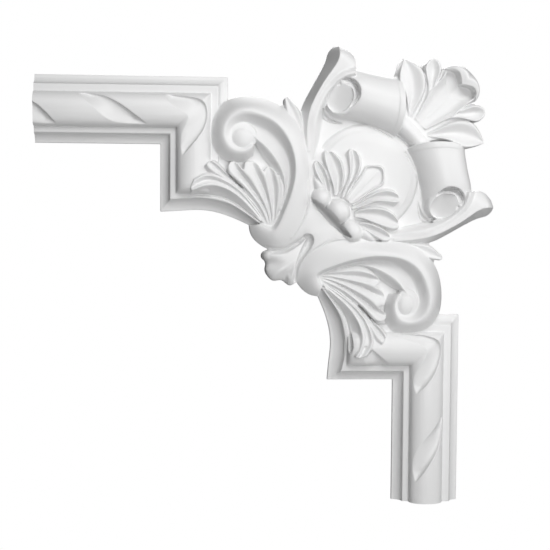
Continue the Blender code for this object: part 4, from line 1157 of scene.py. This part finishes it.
    def _shell_side(self, side: Side) -> None:
        """Carves one half of the shell leaf's sides: a pointed leaf and a small round lobe.

        Args:
            side: The half that it lies on.
        """
        leaf = (
            ((-16.2, -1.9, 13), (-17.5, 4.7, 13.5), (-19.1, 11.3, 14), (-22.1, 17, 14), (-23.9, 22, 14),
             (-22.6, 29.5, 13.5), (-19.9, 36.2, 12.5)),
            ((-16, -2.4, 15), (-16.9, 4.5, 17.6), (-18.5, 10.9, 19), (-21.1, 16.6, 20),
             (-22.9, 22.3, 20), (-22.2, 28.6, 19.4), (-20.2, 34.9, 17)),
            ((-15, -2.7, 14.5), (-14.9, 3.8, 15.2), (-13.8, 11.2, 15.8), (-13.6, 17, 16),
             (-14.7, 23.1, 16.2), (-16.9, 29.3, 16.4), (-19.5, 34.4, 16)),
            ((-14.1, -2.9, 15), (-11.5, 3.8, 17.4), (-8.4, 10.3, 19.2), (-6.8, 16, 20), (-6.9, 22.2, 20),
             (-10, 28.6, 19.2), (-18.9, 34.4, 16.8)),
            ((-13.1, -3.1, 13), (-9.9, 3.6, 13.5), (-6.7, 10, 14), (-4.9, 16.1, 14), (-4.8, 22.5, 14),
             (-8.3, 29.8, 13.5), (-17.9, 35.4, 12.5)),
        )
        spans = [(3, Rise.ROUND), (6, Rise.EASED), (6, Rise.EASED), (3, Rise.HOLLOW)]
        self.pattern.loft("shell_side", side, leaf, spans, 70)
        small = (
            ((-6.4, 6.7, 13), (-4, 13.3, 13.5), (-3.8, 20, 13.5), (-5.2, 26.6, 13.5), (-5.8, 31, 13),
             (-4.4, 33.4, 12)),
            ((-6, 6.1, 16), (-3.6, 12.9, 17.6), (-3.5, 19.4, 18.6), (-4.8, 25.6, 19), (-4.9, 30.5, 19),
             (-2.6, 34.6, 17.4)),
            ((-4.8, 6, 15.6), (-1.6, 13.1, 16), (-0.8, 19.3, 16.2), (-0.3, 24.7, 15.2), (-0.1, 30, 15.2),
             (0, 35.4, 17.6)),
            ((-3.8, 5.8, 16), (-0.3, 13, 17.2), (1, 18.7, 18.4), (2.9, 24, 19), (4, 29.4, 19),
             (2.6, 34.6, 17.4)),
            ((-2.1, 5.9, 13), (1.5, 13, 13.5), (3, 18.8, 13.5), (5.5, 24.5, 13.5), (6, 30.3, 13),
             (4.6, 33.4, 12)),
        )
        self.pattern.quilt("shell_small", side, small)
        bed = [(-12.5, -12.5), (-20, -6), (-18, 4), (-17, 11), (-15, 18), (-9, 21), (-4, 21),
               (1, 18), (6, 21), (10, 24), (18, 24), (20, 20)]
        self.pattern.prism("shell_bed", side, bed, (14.2, 0, 0, (0, 0)))
        gap = [(-24.5, -8), (-24.5, 12), (-17, 12), (-15, 0), (-15, -8)]
        self.pattern.prism("shell_gap", side, gap, (9.6, 0, 0, (0, 0)))

    def _shell_middle(self) -> None:
        """Carves the hollow middle lobe of the shell leaf and its curled tip."""
        edge = [(-12, -4.1, 13), (-8.6, 2.4, 13.5), (-4.8, 9.9, 14), (-2.5, 15, 14), (0.7, 17.7, 14),
                (5, 23, 14), (7.5, 28, 14), (11.9, 30.6, 13)]
        rim = [(-11.6, -4.6, 15.4), (-8, 2.1, 17), (-4.5, 9.1, 18), (-2.1, 13.7, 18.4),
               (1.1, 17.2, 18.6), (5.5, 22.2, 19.2), (8.6, 26, 18.6), (12.6, 27.6, 17)]
        floor = [(-9.7, -6.4, 14.8), (-4.5, -0.1, 14.6), (0.2, 5.8, 14.4), (3.9, 10.9, 14.4),
                 (7.6, 15.9, 14.6), (10.4, 20, 15), (11.9, 23.8, 15.2), (14, 26, 15.2)]
        axis = [(-8.1, -8.1, 14.4), (-3.3, -3.3, 14.2), (1.5, 1.5, 14), (5.7, 5.7, 13.8),
                (9.9, 9.9, 13.8), (13.7, 13.7, 13.8), (16.9, 16.9, 13.8), (20, 20, 13.8)]
        far = [swapped(rail) for rail in (floor, rim, edge)]
        spans = [(3, Rise.ROUND), (8, Rise.ROUND), (8, Rise.EASED), (8, Rise.EASED), (8, Rise.HOLLOW),
                 (3, Rise.HOLLOW)]
        self.pattern.loft("shell_hollow", Side.LEFT, [edge, rim, floor, axis, *far], spans, 70)
        outline = [(7.8, 29.8, 9.5), (12.7, 32.4, 9.5), (18.8, 32.2, 9.5), (23.6, 30.4, 9.5),
                   (27.2, 27.2, 9.5)]
        crown = [(8.3, 28.8, 18), (12.4, 30, 20.5), (17, 29, 22.5), (20.5, 25.8, 23.8),
                 (21.8, 21.8, 24.2)]
        lip = [(9.8, 27.9, 18.4), (12.9, 28.2, 20.8), (16, 26.4, 22.4), (17.6, 22.6, 22.8),
               (18.2, 18.2, 22.4)]
        foot = [(10, 26.3, 16.4), (11.6, 24.6, 15.8), (12.6, 20.8, 15), (13.6, 16.6, 14.4),
                (14.4, 14.4, 14)]
        rails = [doubled(half) for half in (outline, crown, lip, foot)]
        spans = [(10, Rise.ROUND), (3, Rise.EASED), (8, Rise.ROUND)]
        self.pattern.loft("shell_curl", Side.LEFT, rails, spans, 0)
        shade = [(8, 24.5, 14.4), (8.6, 20.6, 14.2), (8.8, 15.8, 14), (10.4, 12.6, 13.8), (11, 11, 13.8)]
        rails = [doubled([(x, z, 10.6) for x, z, _ in lip]), doubled(shade)]
        self.pattern.loft("curl_shade", Side.LEFT, rails, [(12, Rise.EASED)], cut=self.pattern.cuts)
        vein = [(-3, -3.4, 14.7), (4, 3.4, 14.5), (10, 9.4, 14.4), (13.6, 13, 14.6)]
        self.pattern.cord("shell_vein", Side.LEFT, vein, 0.6)


class Casting:
    """The finished casting: one closed skin over the pattern, with its material."""

    def __init__(self, pattern: Pattern, finish: Finish) -> None:
        """Takes what the casting is made from.

        Args:
            pattern: The carved pattern.
            finish: The look of its surface.
        """
        self.pattern = pattern
        self.finish = finish

    @staticmethod
    def combine(target: bpy.types.Object, name: str, operation: str, collection) -> None:
        """Joins a collection's bodies to the target, or cuts them from it.

        Args:
            target: The object that is changed.
            name: The step's name.
            operation: UNION or DIFFERENCE.
            collection: The collection of the other bodies.
        """
        step = target.modifiers.new(name, "BOOLEAN")
        step.operation = operation
        step.operand_type = "COLLECTION"
        step.collection = collection
        step.solver = "MANIFOLD"

    def cast(self, start: bpy.types.Object) -> bpy.types.Object:
        """Joins the bodies into one skin, smooths it and trims its back and ends.

        Args:
            start: The body that the others are joined to.

        Returns:
            The finished piece.
        """
        self.pattern.joined.objects.unlink(start)
        bpy.context.scene.collection.objects.link(start)
        self.combine(start, "join", "UNION", self.pattern.joined)
        self.combine(start, "carve", "DIFFERENCE", self.pattern.cuts)
        skin = start.modifiers.new("skin", "REMESH")
        skin.mode = "VOXEL"
        skin.voxel_size = SKIN_GRAIN * MM
        smooth = start.modifiers.new("smooth", "SMOOTH")
        smooth.factor = SMOOTHING_SHARE
        smooth.iterations = SKIN_SMOOTHING
        faces = len(self._evaluated(start).polygons)
        thin = start.modifiers.new("thin", "DECIMATE")
        thin.ratio = min(1.0, MOST_TRIANGLES / (2.0 * faces))
        mesh = self._evaluated(start)
        LOG.info("skin of %d faces thinned to %d", faces, len(mesh.polygons))
        piece = bpy.data.objects.new("corner_casting", self._trimmed(mesh))
        bpy.context.scene.collection.objects.link(piece)
        for group in (self.pattern.joined, self.pattern.hollows, self.pattern.cuts):
            for item in list(group.objects):
                bpy.data.objects.remove(item, do_unlink=True)
            bpy.data.collections.remove(group)
        bpy.data.objects.remove(start, do_unlink=True)
        piece.data.materials.clear()
        piece.data.materials.append(self._material())
        return piece

    @staticmethod
    def _evaluated(item: bpy.types.Object) -> bpy.types.Mesh:
        """Gives an object's mesh with its modifiers applied.

        Args:
            item: The object.

        Returns:
            A new mesh.
        """
        bpy.context.view_layer.update()
        return bpy.data.meshes.new_from_object(item.evaluated_get(bpy.context.evaluated_depsgraph_get()))

    @staticmethod
    def _trimmed(mesh: bpy.types.Mesh) -> bpy.types.Mesh:
        """Cuts the back flat on the wall plane and both arm ends square.

        Args:
            mesh: The skin.

        Returns:
            The same mesh, closed again.
        """
        bm = bmesh.new()
        bm.from_mesh(mesh)
        planes = (
            ((0.0, 0.0, 0.0), (0.0, 1.0, 0.0)),
            ((-ARM_REACH * MM, 0.0, 0.0), (-1.0, 0.0, 0.0)),
            ((0.0, 0.0, -ARM_REACH * MM), (0.0, 0.0, -1.0)),
        )
        for place, normal in planes:
            everything = [*bm.verts, *bm.edges, *bm.faces]
            bmesh.ops.bisect_plane(bm, geom=everything, dist=TRIM_REACH, plane_co=place, plane_no=normal,
                                   clear_outer=True)
            rim = [edge for edge in bm.edges if edge.is_boundary]
            bmesh.ops.holes_fill(bm, edges=rim, sides=0)
        bmesh.ops.triangulate(bm, faces=[face for face in bm.faces if len(face.verts) > 4])
        for face in bm.faces:
            face.smooth = True
        limit = math.radians(SHARP_DEGREES)
        for edge in bm.edges:
            edge.smooth = len(edge.link_faces) != 2 or edge.calc_face_angle(0.0) < limit
        bm.to_mesh(mesh)
        bm.free()
        return mesh

    def _material(self) -> bpy.types.Material:
        """Makes the primed white surface, with faint clouds of shade and the fine grain of the mould.

        Returns:
            The material.
        """
        finish = self.finish
        material = bpy.data.materials.new("primed_polyurethane")
        material.use_nodes = True
        tree = material.node_tree
        shader = tree.nodes["Principled BSDF"]
        shader.inputs["Metallic"].default_value = 0.0
        shader.inputs["IOR"].default_value = finish.refraction
        place = tree.nodes.new("ShaderNodeTexCoord")
        clouds = tree.nodes.new("ShaderNodeTexNoise")
        clouds.inputs["Scale"].default_value = 1 / (finish.mottle_size * MM)
        clouds.inputs["Detail"].default_value = 3.0
        tree.links.new(place.outputs["Object"], clouds.inputs["Vector"])
        tint = tree.nodes.new("ShaderNodeMix")
        tint.data_type = "RGBA"
        tint.inputs["A"].default_value = linear(finish.colour)
        tint.inputs["B"].default_value = linear(finish.shade)
        tree.links.new(clouds.outputs["Fac"], tint.inputs["Factor"])
        tree.links.new(tint.outputs["Result"], shader.inputs["Base Color"])
        gloss = tree.nodes.new("ShaderNodeMapRange")
        gloss.inputs["To Min"].default_value = finish.roughness - finish.roughness_swing / 2
        gloss.inputs["To Max"].default_value = finish.roughness + finish.roughness_swing / 2
        tree.links.new(clouds.outputs["Fac"], gloss.inputs["Value"])
        tree.links.new(gloss.outputs["Result"], shader.inputs["Roughness"])
        grain = tree.nodes.new("ShaderNodeTexNoise")
        grain.inputs["Scale"].default_value = 1 / (finish.grain_size * MM)
        grain.inputs["Detail"].default_value = 2.0
        tree.links.new(place.outputs["Object"], grain.inputs["Vector"])
        bump = tree.nodes.new("ShaderNodeBump")
        bump.inputs["Strength"].default_value = 1.0
        bump.inputs["Distance"].default_value = finish.grain_height * MM
        tree.links.new(grain.outputs["Fac"], bump.inputs["Height"])
        tree.links.new(bump.outputs["Normal"], shader.inputs["Normal"])
        return material


@dataclass(frozen=True)
class Shot:
    """The camera that took the photograph, in millimetres, radians and pixels."""

    across: float
    up: float
    distance: float
    turn: tuple[float, float, float]
    focal: float
    picture: float


PHOTO_SHOT = Shot(
    across=-103.7011,
    up=-110.1789,
    distance=816.2177,
    turn=(0.0509, -0.0743, 0.0058),
    focal=1200.0,
    picture=550.0,
)


@dataclass(frozen=True)
class Lamp:
    """One soft lamp: its place and the side of its square face in metres, and its power in watts."""

    name: str
    place: tuple[float, float, float]
    size: float
    power: float


LAMPS = (
    Lamp("front", (0.02, -0.80, -0.10), 0.35, 2.3),
    Lamp("upper", (-0.09, -0.61, 0.42), 0.35, 2.35),
    Lamp("corner", (0.27, -0.61, 0.27), 0.35, 1.35),
    Lamp("raking", (0.60, -0.30, 0.19), 0.35, 1.25),
    Lamp("behind", (0.0, 0.75, 0.45), 0.60, 6.0),
)
AIM = (-0.09, 0.0, -0.09)
FLOOR_HALF = 0.8
FLOOR_PLACE = (-0.11, -0.25, -0.62)
FLOOR_PAINT = "#EDEDED"
FLOOR_ROUGHNESS = 0.7
SOFT_STRENGTH = 0.01
FILM_WIDTH = 36.0


class Studio:
    """The white studio round the casting: floor, sky, lights and camera."""

    def __init__(self, shot: Shot) -> None:
        """Takes the shot to be repeated.

        Args:
            shot: The photograph's camera.
        """
        self.shot = shot

    def set_up(self) -> None:
        """Makes the floor, the sky, the lights and the camera."""
        self._floor()
        self._sky()
        for lamp in LAMPS:
            self._light(lamp)
        self._camera()

    @staticmethod
    def _floor() -> None:
        """Lays the pale floor, which is under the photograph's view."""
        bm = bmesh.new()
        bmesh.ops.create_grid(bm, x_segments=1, y_segments=1, size=FLOOR_HALF)
        mesh = bpy.data.meshes.new("floor")
        bm.to_mesh(mesh)
        bm.free()
        floor = bpy.data.objects.new("floor", mesh)
        floor.location = FLOOR_PLACE
        bpy.context.scene.collection.objects.link(floor)
        material = bpy.data.materials.new("floor_paint")
        material.use_nodes = True
        shader = material.node_tree.nodes["Principled BSDF"]
        shader.inputs["Base Color"].default_value = linear(FLOOR_PAINT)
        shader.inputs["Roughness"].default_value = FLOOR_ROUGHNESS
        mesh.materials.append(material)

    @staticmethod
    def _sky() -> None:
        """Makes the white backdrop, which lights the casting more softly than it shows."""
        world = bpy.data.worlds.new("studio")
        bpy.context.scene.world = world
        world.use_nodes = True
        tree = world.node_tree
        shown = tree.nodes["Background"]
        shown.inputs["Color"].default_value = linear("#FFFFFF")
        shown.inputs["Strength"].default_value = 1.0
        soft = tree.nodes.new("ShaderNodeBackground")
        soft.inputs["Color"].default_value = linear("#FFFFFF")
        soft.inputs["Strength"].default_value = SOFT_STRENGTH
        ray = tree.nodes.new("ShaderNodeLightPath")
        mix = tree.nodes.new("ShaderNodeMixShader")
        tree.links.new(ray.outputs["Is Camera Ray"], mix.inputs[0])
        tree.links.new(soft.outputs[0], mix.inputs[1])
        tree.links.new(shown.outputs[0], mix.inputs[2])
        tree.links.new(mix.outputs[0], tree.nodes["World Output"].inputs["Surface"])

    @staticmethod
    def _light(lamp: Lamp) -> None:
        """Hangs a soft lamp that points at the casting.

        Args:
            lamp: The lamp to hang.
        """
        data = bpy.data.lights.new(lamp.name, "AREA")
        data.size = lamp.size
        data.energy = lamp.power
        item = bpy.data.objects.new(lamp.name, data)
        item.location = lamp.place
        item.rotation_euler = (Vector(AIM) - item.location).to_track_quat("-Z", "Y").to_euler()
        bpy.context.scene.collection.objects.link(item)

    def _camera(self) -> None:
        """Puts the camera where the photograph was taken from."""
        shot = self.shot
        turn = Matrix.Rotation(Vector(shot.turn).length, 3, Vector(shot.turn))
        away = turn.transposed() @ Vector((0.0, 0.0, -shot.distance))

        def world(v: Vector) -> Vector:
            """Turns a direction of the picture's axes into one of the world's.

            Args:
                v: Across the picture, down it and into it.

            Returns:
                The same direction in the world.
            """
            return Vector((v[0], v[2], -v[1]))

        right, up, back = world(turn[0]), world(-turn[1]), world(-turn[2])
        place = (Vector((shot.across, 0.0, shot.up)) + world(away)) * MM
        data = bpy.data.cameras.new("photo_camera")
        data.sensor_width = FILM_WIDTH
        data.lens = data.sensor_width * shot.focal / shot.picture
        camera = bpy.data.objects.new("photo_camera", data)
        camera.matrix_world = Matrix((
            (right.x, up.x, back.x, place.x), (right.y, up.y, back.y, place.y),
            (right.z, up.z, back.z, place.z), (0.0, 0.0, 0.0, 1.0),
        ))
        bpy.context.scene.collection.objects.link(camera)
        bpy.context.scene.camera = camera


def main() -> None:
    """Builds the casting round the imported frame, and the studio that shows it."""
    logging.basicConfig(level=logging.INFO, format="%(name)s: %(message)s")
    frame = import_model()
    LOG.info("frame holds %s", ", ".join(frame["nodes"]))
    pattern = Pattern()
    moulding = Moulding(pattern)
    moulding.twist()
    arms = [moulding.arm(side) for side in Side]
    for arm in arms:
        Casting.combine(arm, "twist", "DIFFERENCE", pattern.hollows)
    ornament = Ornament(pattern)
    for side in Side:
        moulding.foot_arc(side)
        ornament.half(side)
    ornament.middle()
    piece = Casting(pattern, PRIMED_WHITE).cast(arms[0])
    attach(piece, "root")
    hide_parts(NODE)
    Studio(PHOTO_SHOT).set_up()
    bpy.context.scene.view_settings.view_transform = "Standard"
    bpy.context.view_layer.update()


if __name__ == "__main__":
    main()
